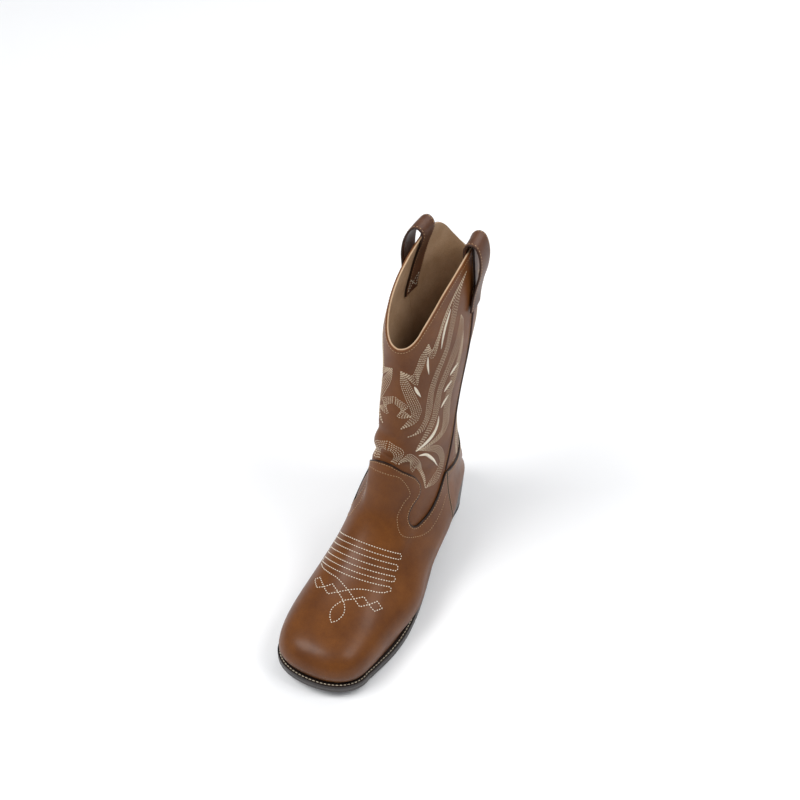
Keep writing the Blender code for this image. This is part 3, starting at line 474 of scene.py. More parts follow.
class Look:
    """A procedural material in the making, kept in LOOKS under its name."""

    def __init__(self, name):
        self.material = bpy.data.materials.new(name)
        self.material.use_nodes = True
        self.nodes = self.material.node_tree.nodes
        self.links = self.material.node_tree.links
        self.shader = self.nodes["Principled BSDF"]
        self.where = self.nodes.new("ShaderNodeTexCoord").outputs["Object"]
        self.bumped = None
        LOOKS[name] = self.material

    def texture(self, kind, scale, output="Fac", **values):
        node = self.nodes.new("ShaderNodeTex" + kind)
        self.links.new(self.where, node.inputs["Vector"])
        for key, value in dict(values, Scale=scale).items():
            node.inputs[key].default_value = value
        return node.outputs[output]

    def noise(self, scale, detail=2.0, roughness=0.5):
        return self.texture("Noise", scale, Detail=detail, Roughness=roughness)

    def ramp(self, source, low, dark, high, light):
        node = self.nodes.new("ShaderNodeValToRGB")
        self.links.new(source, node.inputs["Fac"])
        for point, at, colour in zip(node.color_ramp.elements, (low, high), (dark, light)):
            point.position = at
            point.color = (*colour, 1)
        return node.outputs["Color"]

    def times(self, colour, factor):
        node = self.nodes.new("ShaderNodeMix")
        node.data_type = "RGBA"
        node.blend_type = "MULTIPLY"
        node.inputs["Factor"].default_value = 1.0
        self.links.new(colour, node.inputs["A"])
        self.links.new(factor, node.inputs["B"])
        return node.outputs["Result"]

    def base(self, colour):
        self.links.new(colour, self.shader.inputs["Base Color"])

    def rough(self, source, low, high):
        node = self.nodes.new("ShaderNodeMapRange")
        self.links.new(source, node.inputs["Value"])
        node.inputs["To Min"].default_value = low
        node.inputs["To Max"].default_value = high
        self.links.new(node.outputs["Result"], self.shader.inputs["Roughness"])

    def bump(self, height, strength, depth):
        """A bump layer over the ones before it; depth is in metres."""
        node = self.nodes.new("ShaderNodeBump")
        node.inputs["Strength"].default_value = strength
        node.inputs["Distance"].default_value = depth
        self.links.new(height, node.inputs["Height"])
        if self.bumped:
            self.links.new(self.bumped, node.inputs["Normal"])
        self.bumped = node.outputs["Normal"]
        self.links.new(self.bumped, self.shader.inputs["Normal"])

    def give(self, **values):
        for key, value in values.items():
            self.shader.inputs[key.replace("_", " ")].default_value = value


def leather(name, dark, light, rough, grain=0.3, coat=0.0, toned=True):
    """Finished leather: mottled colour, pores and creases, and a thin polish."""
    look = Look(name)
    colour = look.ramp(look.noise(38.0, 5.0, 0.6), 0.32, dark, 0.68, light)
    colour = look.times(colour, look.ramp(look.noise(900.0, 3.0), 0.3, (0.84,) * 3, 0.6, WHITE))
    # tone, set on each piece, darkens the colour: dark edges, darker down by the sole, and painted
    # shade at cut edges and deep in the linings
    if toned:
        tone = look.nodes.new("ShaderNodeAttribute")
        tone.attribute_name = "tone"
        colour = look.times(colour, tone.outputs["Fac"])
    look.base(colour)
    look.rough(look.noise(110.0, 4.0), rough - 0.07, rough + 0.09)
    look.bump(look.texture("Voronoi", 1500.0, "Distance"), grain, 0.00010)
    look.bump(look.noise(420.0, 4.0, 0.55), grain, 0.00016)
    look.bump(look.noise(60.0), 0.25, 0.0009)
    look.give(Coat_Weight=coat, Coat_Roughness=0.22, Specular_IOR_Level=0.22)


def fibre(name, dark, light, rough, scale, depth=0.0001, sheen=0.0):
    """Matt fibrous stuff: thread, board, foam and cork."""
    look = Look(name)
    noise = look.noise(scale, 4.0, 0.65)
    look.base(look.ramp(noise, 0.3, dark, 0.7, light))
    look.rough(noise, rough - 0.06, rough + 0.06)
    look.bump(noise, 0.5, depth)
    look.give(Sheen_Weight=sheen)


def stacked(name, dark, light, rough, pitch, coat=0.0):
    """Stained sole leather: fine layers lying flat, polished over."""
    look = Look(name)
    wave = look.texture("Wave", pitch, Distortion=3.0, Detail=3.0)
    wave.node.bands_direction = "Z"
    blot = look.noise(70.0, 5.0)
    layers = look.ramp(wave, 0.0, (0.8,) * 3, 0.6, WHITE)
    look.base(look.times(look.ramp(blot, 0.3, dark, 0.7, light), layers))
    look.rough(blot, rough - 0.06, rough + 0.1)
    look.bump(wave, 0.15, 0.0001)
    look.bump(look.noise(500.0, 4.0), 0.2, 0.0001)
    look.give(Coat_Weight=coat, Coat_Roughness=0.3)


def metal(name, dark, light, rough):
    look = Look(name)
    noise = look.noise(600.0, 3.0)
    look.base(look.ramp(noise, 0.3, dark, 0.7, light))
    look.rough(noise, rough - 0.08, rough + 0.08)
    look.bump(noise, 0.2, 0.00005)
    look.give(Metallic=1.0)


leather("tan_leather", (0.105, 0.030, 0.0035), (0.160, 0.050, 0.0065), 0.41, 0.2, 0.09)
leather("shaft_leather", (0.108, 0.033, 0.007), (0.160, 0.054, 0.012), 0.46, 0.25, 0.05)
leather("lining_leather", (0.42, 0.27, 0.155), (0.56, 0.39, 0.25), 0.66)
leather("piping_leather", (0.020, 0.006, 0.004), (0.045, 0.014, 0.009), 0.45, coat=0.1)
leather("strap_leather", (0.085, 0.032, 0.015), (0.15, 0.062, 0.03), 0.48, coat=0.1)
leather("welt_leather", (0.010, 0.006, 0.005), (0.022, 0.013, 0.010), 0.42, 0.25, 0.2, False)
leather("sock_leather", (0.26, 0.15, 0.075), (0.36, 0.22, 0.12), 0.62, toned=False)
stacked("sole_leather", (0.016, 0.011, 0.010), (0.034, 0.024, 0.020), 0.42, 900.0, 0.25)
stacked("heel_leather", (0.014, 0.009, 0.007), (0.034, 0.020, 0.015), 0.4, 700.0, 0.25)
stacked("cap_rubber", (0.008, 0.008, 0.008), (0.018, 0.017, 0.016), 0.7, 300.0)
fibre("stiffener_board", (0.36, 0.30, 0.22), (0.52, 0.45, 0.34), 0.85, 260.0, 0.0002)
fibre("insole_board", (0.32, 0.22, 0.13), (0.48, 0.35, 0.22), 0.8, 420.0, 0.0002)
fibre("heel_foam", (0.48, 0.45, 0.38), (0.62, 0.59, 0.52), 0.9, 900.0, 0.0003)
fibre("cork", (0.14, 0.07, 0.03), (0.42, 0.26, 0.13), 0.95, 300.0, 0.0005)
fibre("welt_thread", (0.50, 0.41, 0.28), (0.74, 0.66, 0.52), 0.7, 1800.0)
fibre("beige_thread", (0.42, 0.31, 0.20), (0.62, 0.49, 0.34), 0.62, 1500.0, sheen=0.3)
fibre("tan_thread", (0.34, 0.20, 0.09), (0.50, 0.32, 0.17), 0.62, 1500.0)
fibre("satin_thread", (0.68, 0.58, 0.43), (0.88, 0.82, 0.69), 0.45, 1400.0, sheen=0.4)
metal("spring_steel", (0.40, 0.40, 0.42), (0.52, 0.52, 0.54), 0.36)
metal("nail_brass", (0.50, 0.34, 0.13), (0.68, 0.49, 0.2), 0.36)
metal("screw_steel", (0.38, 0.38, 0.40), (0.50, 0.50, 0.51), 0.4)


# ---------------------------------------------------------------- mesh building
def add_piece(name, verts, faces, slot, look=None, stands_for=(), tone=None, sharp=50):
    """A named piece from points in design coordinates, riding on the boot."""
    verts = np.asarray(verts, float)
    world = np.stack([verts[:, 1] - CENTRE_X, CENTRE_T - verts[:, 0], verts[:, 2]], 1) * MM
    mesh = bpy.data.meshes.new(name)
    mesh.from_pydata(world.tolist(), [], faces)
    if tone is not None:
        mesh.attributes.new("tone", "FLOAT", "POINT").data.foreach_set(
            "value", np.asarray(tone, np.float32))
    bm = bmesh.new()
    bm.from_mesh(mesh)
    bmesh.ops.delete(bm, geom=[v for v in bm.verts if not v.link_faces], context="VERTS")
    bmesh.ops.recalc_face_normals(bm, faces=bm.faces)
    if bm.calc_volume(signed=True) < 0:
        bmesh.ops.reverse_faces(bm, faces=bm.faces)
    bm.to_mesh(mesh)
    bm.free()
    mesh.shade_smooth()
    mesh.set_sharp_from_angle(angle=math.radians(sharp))
    piece = bpy.data.objects.new(name, mesh)
    bpy.context.scene.collection.objects.link(piece)
    mesh.materials.append(LOOKS[look or slot])
    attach(piece, "root")
    if stands_for:
        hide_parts(*stands_for)


def tube(rings, sides, start=0):
    """Faces between rings of points that follow one another."""
    faces = []
    for r in range(start, start + (rings - 1) * sides, sides):
        for m in range(sides):
            n = (m + 1) % sides
            faces.append((r + m, r + n, r + sides + n, r + sides + m))
    return faces


def triangles(points, corners, merge):
    """Triangles over 2-D points, of which the first ones are a closed outline's corners."""
    edges = [(n, (n + 1) % corners) for n in range(corners)]
    flat, _, faces, _, _, _ = delaunay_2d_cdt([Vector(p) for p in points], edges, [], 1, merge)
    return np.array([tuple(v) for v in flat]), faces


def boundary(tris):
    """Directed edges that only one triangle has."""
    edges = {}
    for f in tris:
        for m, n in zip(f, f[1:] + f[:1]):
            if (n, m) in edges:
                del edges[n, m]
            else:
                edges[m, n] = True
    return list(edges)


def resample(loop, step):
    """An outline's points about a step apart on the boot, with the edges' kinds."""
    out = []
    round_edge = []
    u = np.linspace(0, 1, 33)
    for (a0, d0), (a1, d1) in zip(loop, loop[1:] + loop[:1]):
        hidden = abs(d0) == ROUND and abs(d1) == ROUND
        d0 = math.copysign(min(abs(d0), float(girth_at(a0, d0))), d0)
        d1 = math.copysign(min(abs(d1), float(girth_at(a1, d1))), d1)
        a = a0 + (a1 - a0) * u
        d = d0 + (d1 - d0) * u
        if hidden and d0 * d1 > 0:
            d = math.copysign(1, d0) * girth_at(a, d)
        run = along(on_skin(a, d, 0)[0])
        if run[-1] < 1e-6:
            continue
        count = max(1, math.ceil(run[-1] / step))
        for w in np.interp(np.linspace(0, run[-1], count + 1)[:-1], run, u):
            out.append((a0 + (a1 - a0) * w, np.interp(w, u, d)))
            round_edge.append(hidden)
    return np.array(out), np.array(round_edge)


def pattern_mesh(outline, grid, rim):
    """Rows (a, d, distance from the cut edge) and triangles that fill an outline."""
    loop, hidden = resample(outline, grid * 0.6)
    lowest = loop.min(0)
    highest = loop.max(0)
    free = ~hidden | ~np.roll(hidden, 1)
    rows = np.arange(lowest[0], highest[0], grid * 0.866)
    cols = np.arange(lowest[1], highest[1], grid)
    aa, dd = np.meshgrid(rows, cols, indexing="ij")
    dd = dd + (np.arange(len(rows)) % 2)[:, None] * grid / 2
    fill = np.stack([aa.ravel(), dd.ravel()], 1)
    fill = fill[inside(fill, loop)]
    rings = []
    inward = -loop_normals(loop)
    for depth in (rim * 0.35, rim):
        ring = loop[free] + inward[free] * depth
        ring = ring[inside(ring, loop)]
        rings.append(ring[nearest(ring, loop) > depth * 0.9])
    fill = fill[nearest(fill, loop) > grid * 0.5]
    if len(rings[1]):
        fill = fill[nearest(fill, rings[1]) > grid * 0.45]
    flat, faces = triangles(np.concatenate([loop, *rings, fill]), len(loop), 1e-5)
    depth = nearest(flat, loop[free]) if free.any() else np.full(len(flat), 9.0)
    return np.concatenate([flat, depth[:, None]], 1), faces


def skin(node, slot, outlines, low, high, grid=1.7, rim=0.6, margin=None, rim_dye_and_shade=1.0,
         ending="_leather"):
    """A leather piece over the last: closed (a, d) outlines between two heights.

    Its cut edges are rounded over by rim.  margin gives the heights (lower, upper),
    against the feather line, of an edge turned in under the foot.
    """
    chunks = []
    tris = []
    base = 0
    for outline in outlines:
        flat, faces = pattern_mesh(outline, grid, rim)
        chunks.append(flat)
        tris += [tuple(i + base for i in f) for f in faces if len(set(f)) == 3]
        base += len(flat)
    a, d, depth = np.concatenate(chunks).T
    ground = on_skin(a, d, 0)[0]
    if len(outlines) > 1:
        _, first, same = np.unique(np.round(ground, 3), axis=0, return_index=True,
                                   return_inverse=True)
        same = same.ravel()
        tris = [tuple(int(same[i]) for i in f) for f in tris]
        tris = [f for f in tris if len(set(f)) == 3]
        a, d, depth, ground = a[first], d[first], depth[first], ground[first]
    turn = np.clip(1 - depth / rim, 0, 1)
    drop = rim * (1 - np.sqrt(np.maximum(0, 1 - turn ** 2)))
    outer = on_skin(a, d, high - drop)[0]
    inner = on_skin(a, d, low)[0]
    i, j = to_net(a, d)
    feather = (i < 1e-6) | ((np.abs(j - HALF) > HALF - 1e-6) & (i < HEEL_ROW + 1e-6))
    out = np.concatenate([plan_out(i, j), np.zeros((len(a), 1))], 1)
    base_z = feather_z(np.maximum(ground[:, 0], 0))
    for layer, height in ((outer, high), (inner, low)):
        layer[feather] = ground[feather] + out[feather] * height
        layer[feather, 2] = base_z[feather] + GAP
    count = len(a)
    solid = list(tris) + [tuple(n + count for n in reversed(f)) for f in tris]
    rim_edges = boundary(tris)
    turned = [e for e in rim_edges if margin and feather[e[0]] and feather[e[1]]]
    # the edge turned in: five points under each point of the feather line
    ring = {}
    extra = []
    ends = {}
    for m, n in turned:
        ends[m] = ends.get(m, 0) + 1
        ends[n] = ends.get(n, 0) - 1
        for k in (m, n):
            if k in ring:
                continue
            ring[k] = 2 * count + len(extra)
            p = ground[k]
            for swing in (35, 65, 90):
                s = math.radians(swing)
                q = p + out[k] * high * math.cos(s)
                extra.append((q[0], q[1], base_z[k] + margin[0] * math.sin(s)))
            q = p - out[k] * MARGIN
            under = float(feather_z(max(q[0], 0)))
            extra += [(q[0], q[1], under + shift) for shift in margin]

    def wall(n):
        return [n, *range(ring[n], ring[n] + 5), n + count]

    turned_in = set(turned)
    for m, n in rim_edges:
        if (m, n) in turned_in:
            left, right = wall(m), wall(n)
            solid += [(right[c], left[c], left[c + 1], right[c + 1]) for c in range(6)]
        else:
            solid.append((n, m, m + count, n + count))
    solid += [tuple(wall(n)) for n, sign in ends.items() if sign]
    verts = np.concatenate([outer, inner, np.array(extra).reshape(-1, 3)])
    # darker at the cut edges, as dark edge colour and painted shade; darker down by the sole; and, on
    # the linings, painted shade deep in the shaft
    tones = np.concatenate([1 - (1 - rim_dye_and_shade) * smoothstep((1.3 - depth) / 0.7),
                            np.full(count, rim_dye_and_shade), np.full(len(extra), 0.6)])
    if margin:
        clear = verts[:, 2] - feather_z(np.maximum(verts[:, 0], 0))
        tones = tones * (0.62 + 0.38 * smoothstep((clear + 2) / 16))
    # the linings: painted shade, darker the deeper they lie in the shaft
    elif low < -2:
        tones = tones * (0.3 + 0.7 * smoothstep((verts[:, 2] - 190) / 100))
    add_piece(node + ending, verts, solid, slot, None, [node], tones, 55)


def both_sides(outline):
    return [outline, mirrored(outline)]


def whole(half):
    """An outline that spans the ridge, from its outer half."""
    return [half + mirrored(half)[1:-1]]


def plate(node, ending, slot, outline, top, bottom, radius, hollow=0.0, shape=None):
    """A flat piece with rounded arrises, from a closed (t, x) outline.

    top and bottom are surfaces of t; hollow waists the wall in; shape(t, x, z)
    moves the points after.
    """
    loop = np.asarray(outline, float)
    loop = loop[np.linalg.norm(loop - np.roll(loop, 1, axis=0), axis=1) > 0.15]
    count = len(loop)
    out = loop_normals(loop)
    # rings as (how far in, share of the way down, shift up)
    steps = [math.radians(s) for s in (0, 30, 60, 90)]
    rings = [(radius * (1 - math.sin(s)), 0, radius * (math.cos(s) - 1)) for s in steps]
    if hollow:
        rings += [(hollow * math.sin(math.pi * u), u, radius * (2 * u - 1))
                  for u in (0.25, 0.5, 0.75)]
    rings += [(radius * (1 - math.sin(s)), 1, radius * (1 - math.cos(s))) for s in reversed(steps)]
    verts = []
    for inset, part, shift in rings:
        for t, x in loop - out * inset:
            verts.append((t, x, top(t) + (bottom(t) - top(t)) * part + shift))
    faces = tube(len(rings), count)
    rim = loop - out * radius
    lowest = rim.min(0) + 2
    highest = rim.max(0)
    tt, xx = np.meshgrid(np.arange(lowest[0], highest[0], PLATE_GRID),
                         np.arange(lowest[1], highest[1], PLATE_GRID), indexing="ij")
    fill = np.stack([tt.ravel(), xx.ravel()], 1)
    fill = fill[inside(fill, rim)]
    fill = fill[nearest(fill, rim) > 2.0]
    flat, tris = triangles(np.concatenate([rim, fill]), count, 1e-6)
    spare = len(flat) - count
    extra = len(verts)
    for surface in (top, bottom):
        verts += [(t, x, surface(t)) for t, x in flat[count:]]
    last = (len(rings) - 1) * count
    for f in tris:
        faces.append(tuple(n if n < count else extra + n - count for n in f))
        faces.append(tuple(last + n if n < count else extra + spare + n - count
                           for n in reversed(f)))
    if shape:
        verts = [shape(*v) for v in verts]
    add_piece(node + ending, verts, faces, slot, None, [node], None, 40)


# ------------------------------------------------------------------- stitching
def add_stitches(verts, faces, centres, tails, heads, ups, length, width, height, bow=0.0):
    """Adds plump stitches, each lying along the way from its tail to its head."""
    sides = 6
    rings = ((-0.5, 0.45, -0.55), (-0.2, 1.0, 0.0), (0.2, 1.0, 0.0), (0.5, 0.45, -0.55))
    ways = unit(heads - tails)
    ups = unit(ups - ways * (ups * ways).sum(1, keepdims=True))
    lengths = np.broadcast_to(length, len(centres))
    bows = np.broadcast_to(bow, len(centres))
    for c, w, up, long, rise in zip(centres, ways, ups, lengths, bows):
        across = np.cross(up, w)
        start = len(verts)
        for shift, size, sink in rings:
            middle = c + w * long * shift + up * (sink * height + rise * (0.25 - shift ** 2))
            for m in range(sides):
                angle = 2 * math.pi * m / sides
                verts.append(middle + across * (math.cos(angle) * width / 2 * size)
                             + up * (math.sin(angle) * height / 2 * size))
        faces += tube(len(rings), sides, start)
        faces.append(tuple(start + m for m in reversed(range(sides))))
        faces.append(tuple(start + (len(rings) - 1) * sides + m for m in range(sides)))


def stitch_rows(name, look, slot, rows, height, pitch, fill, width, tall):
    """Rows of stitches along (a, d) paths at a height above the last."""
    verts = []
    faces = []
    for row in rows:
        row = np.asarray(row, float)
        run = along(on_skin(*row.T, height)[0])
        count = max(1, int(round(run[-1] / pitch)))
        step = run[-1] / count
        middles = (np.arange(count) + 0.5) * step
        ends = []
        for shift in (-0.5, 0.5):
            at = np.clip(middles + shift * step * fill, 0, run[-1])
            ends.append(on_skin(*at_run(at, run, row).T, height)[0])
        centre, up = on_skin(*at_run(middles, run, row).T, height)
        add_stitches(verts, faces, centre, *ends, up, step * fill, width, tall)
    add_piece(name, verts, faces, slot, look)


def stitch_line(verts, faces, points, ups, run, pitch, fill, width, tall):
    """Adds stitches along a line of points that has the given run."""
    count = max(1, int(round(run[-1] / pitch)))
    step = run[-1] / count
    tails, heads = [at_run((np.arange(count) + 0.5 + s * fill) * step, run, points)
                    for s in (-0.5, 0.5)]
    ups = at_run((np.arange(count) + 0.5) * step, run, ups)
    add_stitches(verts, faces, (tails + heads) / 2, tails, heads, ups, step * fill, width, tall)


# ------------------------------------------------------------------- the upper
side_seam = spline(SIDE_SEAM)
# heights of the layers above the last, inner face and outer face
FOOT_LAYER = (-0.25, LEATHER)
SHAFT_LAYER = (-GAP - PANEL, -GAP)
LINING_IN = -2.8
LINING_OUT = -1.52
SIDES = ((1, "lateral"), (-1, "medial"))


def seam_line(a_low, a_high, shift):
    return [(a, float(side_seam(a)) + shift) for a in [*np.arange(a_low, a_high, 4), a_high]]


tongue = smooth_path(VAMP_TONGUE, 2)
notch = smooth_path(VAMP_NOTCH, 2)
quarter = smooth_path(QUARTER_SEAM, 3)
half = tongue[:-1] + notch + [(a, d - 0.1) for a, d in quarter] + [(184.5, ROUND), (0, ROUND)]
# the vamp's and the counter's cut edges are darkened: dark edge colour and painted shade
skin("vamp", "tan_leather", [half + mirrored(half)[:-1]], *FOOT_LAYER, margin=(-LEATHER, 0.0),
     rim_dye_and_shade=0.1)
counter_top = smooth_path(COUNTER_TOP, 3)
counter_top[-1] = (262.5, ROUND)
half = [(184.9, ROUND)] + [(a, d + 0.3) for a, d in reversed(quarter[:-1])] + counter_top[1:]
skin("counter", "tan_leather", both_sides(half), *FOOT_LAYER, margin=(-LEATHER, 0.0), rim_dye_and_shade=0.1)

front_top = smooth_path(TOP_LINE_FRONT, 3)
half = smooth_path(FRONT_LAP, 3) + seam_line(212, 408, -0.9)
half += [p for p in reversed(front_top) if p[1] < 105]
skin("shaft_front", "shaft_leather", whole(half), *SHAFT_LAYER)
lap = smooth_path(BACK_LAP, 3)[1:]
lap[-1] = (251, ROUND)
back_top = smooth_path(TOP_LINE_BACK, 3)
back_top[-1] = (375, ROUND)
half = [p for p in back_top if p[1] > 110][::-1] + seam_line(212, 407, 0.9)[::-1] + lap
skin("shaft_back", "shaft_leather", both_sides(half), *SHAFT_LAYER)
for side, label in SIDES:
    strip = seam_line(226, 408, -1.1) + seam_line(226, 408, 1.1)[::-1]
    if side < 0:
        strip = mirrored(strip)
    skin("side_piping_" + label, "piping_leather", [strip], SHAFT_LAYER[0], 1.0, grid=0.8, rim=1.0,
         ending="_cord")

# linings, seen down the shaft
seam_round = smooth_path(LINING_SEAM, 4)
seam_round[-1] = (250, ROUND)
half = [(0, 0), (0, ROUND)] + [(a - 0.2, d) for a, d in reversed(seam_round)]
skin("vamp_lining", "lining_leather", both_sides(half), LINING_IN, -1.8, grid=3.0)
half = [p for p in seam_round if p[1] < 86] + seam_line(237.5, 408.4, -0.1)
half += [(a + 0.4, d) for a, d in reversed(front_top) if d < 104]
skin("shaft_lining_front", "lining_leather", whole(half), LINING_IN, LINING_OUT, grid=2.4, rim=0.4)
half = [(a + 0.4, d) for a, d in back_top if d > 110][::-1] + seam_line(238, 407.6, 0.1)[::-1]
half += [p for p in seam_round if p[1] > 94]
skin("shaft_lining_back", "lining_leather", both_sides(half), LINING_IN, LINING_OUT, grid=2.4,
     rim=0.4)

# ------------------------------------------------------------------ pull straps
# places along a strap: up from the top line, and off the last
STRAP_PATH = [(-STRAP_INNER, -3.9), (-45, -3.9), (-25, -3.9), (-12, -4.1), (-3, -4.6), (4, -4.2),
              (8.2, -1.4), (STRAP_RISE, 2.8), (7, 7.0), (0.5, 9.6), (-9, 10.4), (-20, 8.8),
              (-32, 5.2), (-42, 3.1), (-50, 2.3), (-STRAP_OUTER, 2.1)]


def strap_places(side, path, c):
    """Points of a pull strap along a path, c across, and the ways off its face there."""
    seam_a = np.linspace(408.0, 300, 60)
    seam_p = on_skin(seam_a, side * side_seam(seam_a), 0)[0]
    up = unit(seam_p[0] - seam_p[12])
    path = np.asarray(path, float)
    u, h = path.T
    a = np.interp(np.maximum(-u, 0), along(seam_p), seam_a)
    p, out = on_skin(a, side * side_seam(a) + c, h)
    ahead = np.concatenate([path[1:], path[-1:]]) - np.concatenate([path[:1], path[:-1]])
    du, dh = unit(ahead).T[:, :, None]
    return p + up * np.maximum(u, 0)[:, None], out * du - up * dh


def pull_strap(node, side):
    """A strap folded over the top line, with rounded edges."""
    path = smooth_path(STRAP_PATH, 2.0)
    wide = STRAP_WIDTH / 2
    thick = STRAP_THICK / 2
    profile = [(c, thick) for c in np.linspace(-wide + 0.8, wide - 0.8, 9)]
    profile += [(wide - 0.25, thick * 0.75), (wide, 0), (wide - 0.25, -thick * 0.75)]
    profile += [(-c, -h) for c, h in profile]
    rows = []
    tones = []
    for c, h in profile:
        p, off = strap_places(side, path, c)
        rows.append(p + off * h)
        tones.append(0.3 if abs(c) > wide - 0.5 else (1.0 if h > 0 else 0.8))
    count = len(profile)
    faces = tube(len(path), count)
    faces.append(tuple(range(count)))
    faces.append(tuple(reversed(range((len(path) - 1) * count, len(path) * count))))
    add_piece(node + "_leather", np.stack(rows, 1).reshape(-1, 3), faces, "strap_leather", None,
              [node], tones * len(path), 45)


for side, label in SIDES:
    pull_strap("pull_strap_" + label, side)


# ------------------------------------------------------------------ the bottom
def sole_loop(inset=0.0):
    """The sole's outline: it stands out less round the heel than in front."""
    reach = HEEL_OUT + (WELT_OUT - HEEL_OUT) * smoothstep((feather_loop[:, 0] - 50) / 40)
    return feather_loop + feather_out * (reach - inset)[:, None]


def cut_loop(loop, t_cut, front):
    """The part of a closed loop ahead of t_cut (front true) or behind it."""
    ring = [tuple(p) for p in loop]
    top = max(range(len(ring)), key=lambda n: -ring[n][0] if front else ring[n][0])
    ring = ring[top:] + ring[:top + 1]
    out = []
    for p, q in zip(ring, ring[1:]):
        p_in = (p[0] > t_cut) == front
        if p_in:
            out.append(p)
        if p_in != ((q[0] > t_cut) == front):
            u = (t_cut - p[0]) / (q[0] - p[0])
            out.append((t_cut, p[1] + (q[1] - p[1]) * u))
    return out


def level(shift):
    """The surface that stands a shift above the feather line."""
    return lambda t: float(feather_z(t)) + shift


INNER_EDGE = offset_feather(-MARGIN)
for node, t_cut, front in (("welt", HEEL_BREAST, True), ("heel_rand", HEEL_BREAST - 0.05, False)):
    outline = cut_loop(sole_loop(), t_cut, front) + cut_loop(INNER_EDGE, t_cut, front)[::-1]
    plate(node, "_strip", "welt_leather", outline, level(WELT_TOP), level(SOLE_TOP + 0.05), 0.5)
plate("outsole", "_leather", "sole_leather", sole_loop(0.15), level(SOLE_TOP), level(SEAT), 0.7,
      hollow=0.35)

# the heel: a stack that tapers, cut in a shallow curve at the breast
heel_outline = cut_loop(sole_loop(0.3), HEEL_BREAST, False)
(_, first_x), (_, last_x) = heel_outline[0], heel_outline[-1]
for n in range(1, 12):
    u = n / 12
    heel_outline.append((HEEL_BREAST - 2.5 * math.sin(math.pi * u), last_x + (first_x - last_x) * u))


def heel_taper(t, x, z):
    """A place in the heel, drawn in towards the floor."""
    shrink = 1 - HEEL_TAPER * min(max((HEEL_TALL - z) / HEEL_TALL, 0.0), 1.0)
    return (HEEL_MIDDLE + (t - HEEL_MIDDLE) * shrink, x * shrink, z)


def heel_level(part):
    """The surface a part of the way from the cap up to the heel seat."""
    return lambda t: CAP_THICK + (float(feather_z(t)) + SEAT - CAP_THICK) * part


for n in range(LIFTS):
    plate("heel_lift_%d" % (n + 1), "_leather", "heel_leather", heel_outline,
          heel_level((n + 1) / LIFTS), heel_level(n / LIFTS), 0.22, shape=heel_taper)
plate("heel_cap", "_rubber", "cap_rubber", heel_outline, lambda t: CAP_THICK, lambda t: 0.0, 0.35,
      shape=heel_taper)


# ------------------------------------------------------------ seams and toe stitch
STITCH_LIFT = 0.12
VAMP_TOP = LEATHER + STITCH_LIFT
SHAFT_TOP = -GAP + STITCH_LIFT
SEAM_PITCH = 2.6
SEAM_FILL = 0.62


def sideways(path):
    """Unit directions across a pattern path."""
    way = unit(np.gradient(path, axis=0))
    return np.stack([-way[:, 1], way[:, 0]], 1)


def inset(path, amount):
    """A pattern line moved sideways, without the tangles that tight bends make."""
    fine = np.array(smooth_path(path, 1.0))
    moved = fine + sideways(fine) * amount
    return moved[nearest(moved, fine) > abs(amount) * 0.96]


def two_sided(rows):
    """Rows of the outer side, and the same on the inner side."""
    return rows + [np.asarray(row) * (1, -1) for row in rows]


vamp_edge = tongue[:-1] + notch
vamp_rows = [inset(vamp_edge, 2.0), inset(quarter[:-2], -1.8)]
vamp_rows.append(smooth_path([(217, 0), (217, 6), (216, 17.5), (203.5, 30), (192, 25), (176, 22),
                              (163, 30), (165.5, 45), (175, 61.5), (189, 75), (200, 86),
                              (207, 93)], 1.0))
stitch_rows("vamp_seam_stitches", "tan_thread", "tan_leather", two_sided(vamp_rows), VAMP_TOP,
            SEAM_PITCH, SEAM_FILL, width=0.55, tall=0.5)
counter_edge = counter_top[:-1] + [(262.3, 170)]
counter_rows = [inset(counter_edge, 2.2), inset(counter_edge, 4.4), inset(quarter[1:-2], 1.8)]
counter_rows = [row[row[:, 1] < girth_at(row[:, 0], row[:, 1]) - 0.2] for row in counter_rows]
stitch_rows("counter_seam_stitches", "tan_thread", "tan_leather", two_sided(counter_rows),
            VAMP_TOP, SEAM_PITCH, SEAM_FILL, width=0.55, tall=0.5)
shaft_rows = [seam_line(230, 404, shift) for shift in (-3.0, 3.0)]
shaft_rows.append([(a - 2.6, d) for a, d in front_top if d < 101])
shaft_rows.append([(a - 2.6, d) for a, d in back_top if 112 < d < 170])
stitch_rows("shaft_seam_stitches", "tan_thread", "shaft_leather", two_sided(shaft_rows), SHAFT_TOP,
            SEAM_PITCH, SEAM_FILL, width=0.5, tall=0.45)

# the toe stitch: bars joined end to end, then a plait of diamonds and a drop
BARS = [(141.3, 36.5), (135.9, 36.5), (130.5, 37), (124.6, 37), (119.0, 38.5), (113.5, 38.5),
        (108.1, 38.5)]       # each bar's place on the ridge and its outer reach
INNER_REACH = -37.5
LAST_DROP = 4.6              # from the last bar to where its round end stops
BAR_CURVE = 0.0043
# strokes of the plait, each from where the one before ends; a pair is two sharp corners
STROKES = [
    [(110, 38.6), (107.4, 36), (105, 31), (103.6, 26), (102.3, 20), (99.5, 12), (95.4, 4.75),
     (90.3, -3), (85, -11)],
    [(85, -11), (90, -18), (97.5, -27)],
    [(94, -33), (86.9, -25)],
    [(86.9, -25), (90, -18), (95.3, -11)],
    [(95.3, -11), (90.3, -3), (84.4, 4.75), (78.8, 8.8), (72.5, 10.4), (65, 8.1), (61, 4)],
    [(61, 4), (65, 0.6), (71.3, -1.5), (77.5, 0), (84.4, 4.75), (89.8, 13), (95.3, 20.3)],
    [(95.3, 20.3), (90.4, 27), (86.5, 34)],
    [(92.1, 39.4), (96.6, 33)],
    [(96.6, 33), (90.4, 27), (85, 20.6)],
    [(85, 20.6), (90.3, 12.5), (95.4, 4.75), (99.5, -3), (102.5, -10), (104.5, -20),
     (107.5, -30), (112, -38)],
]

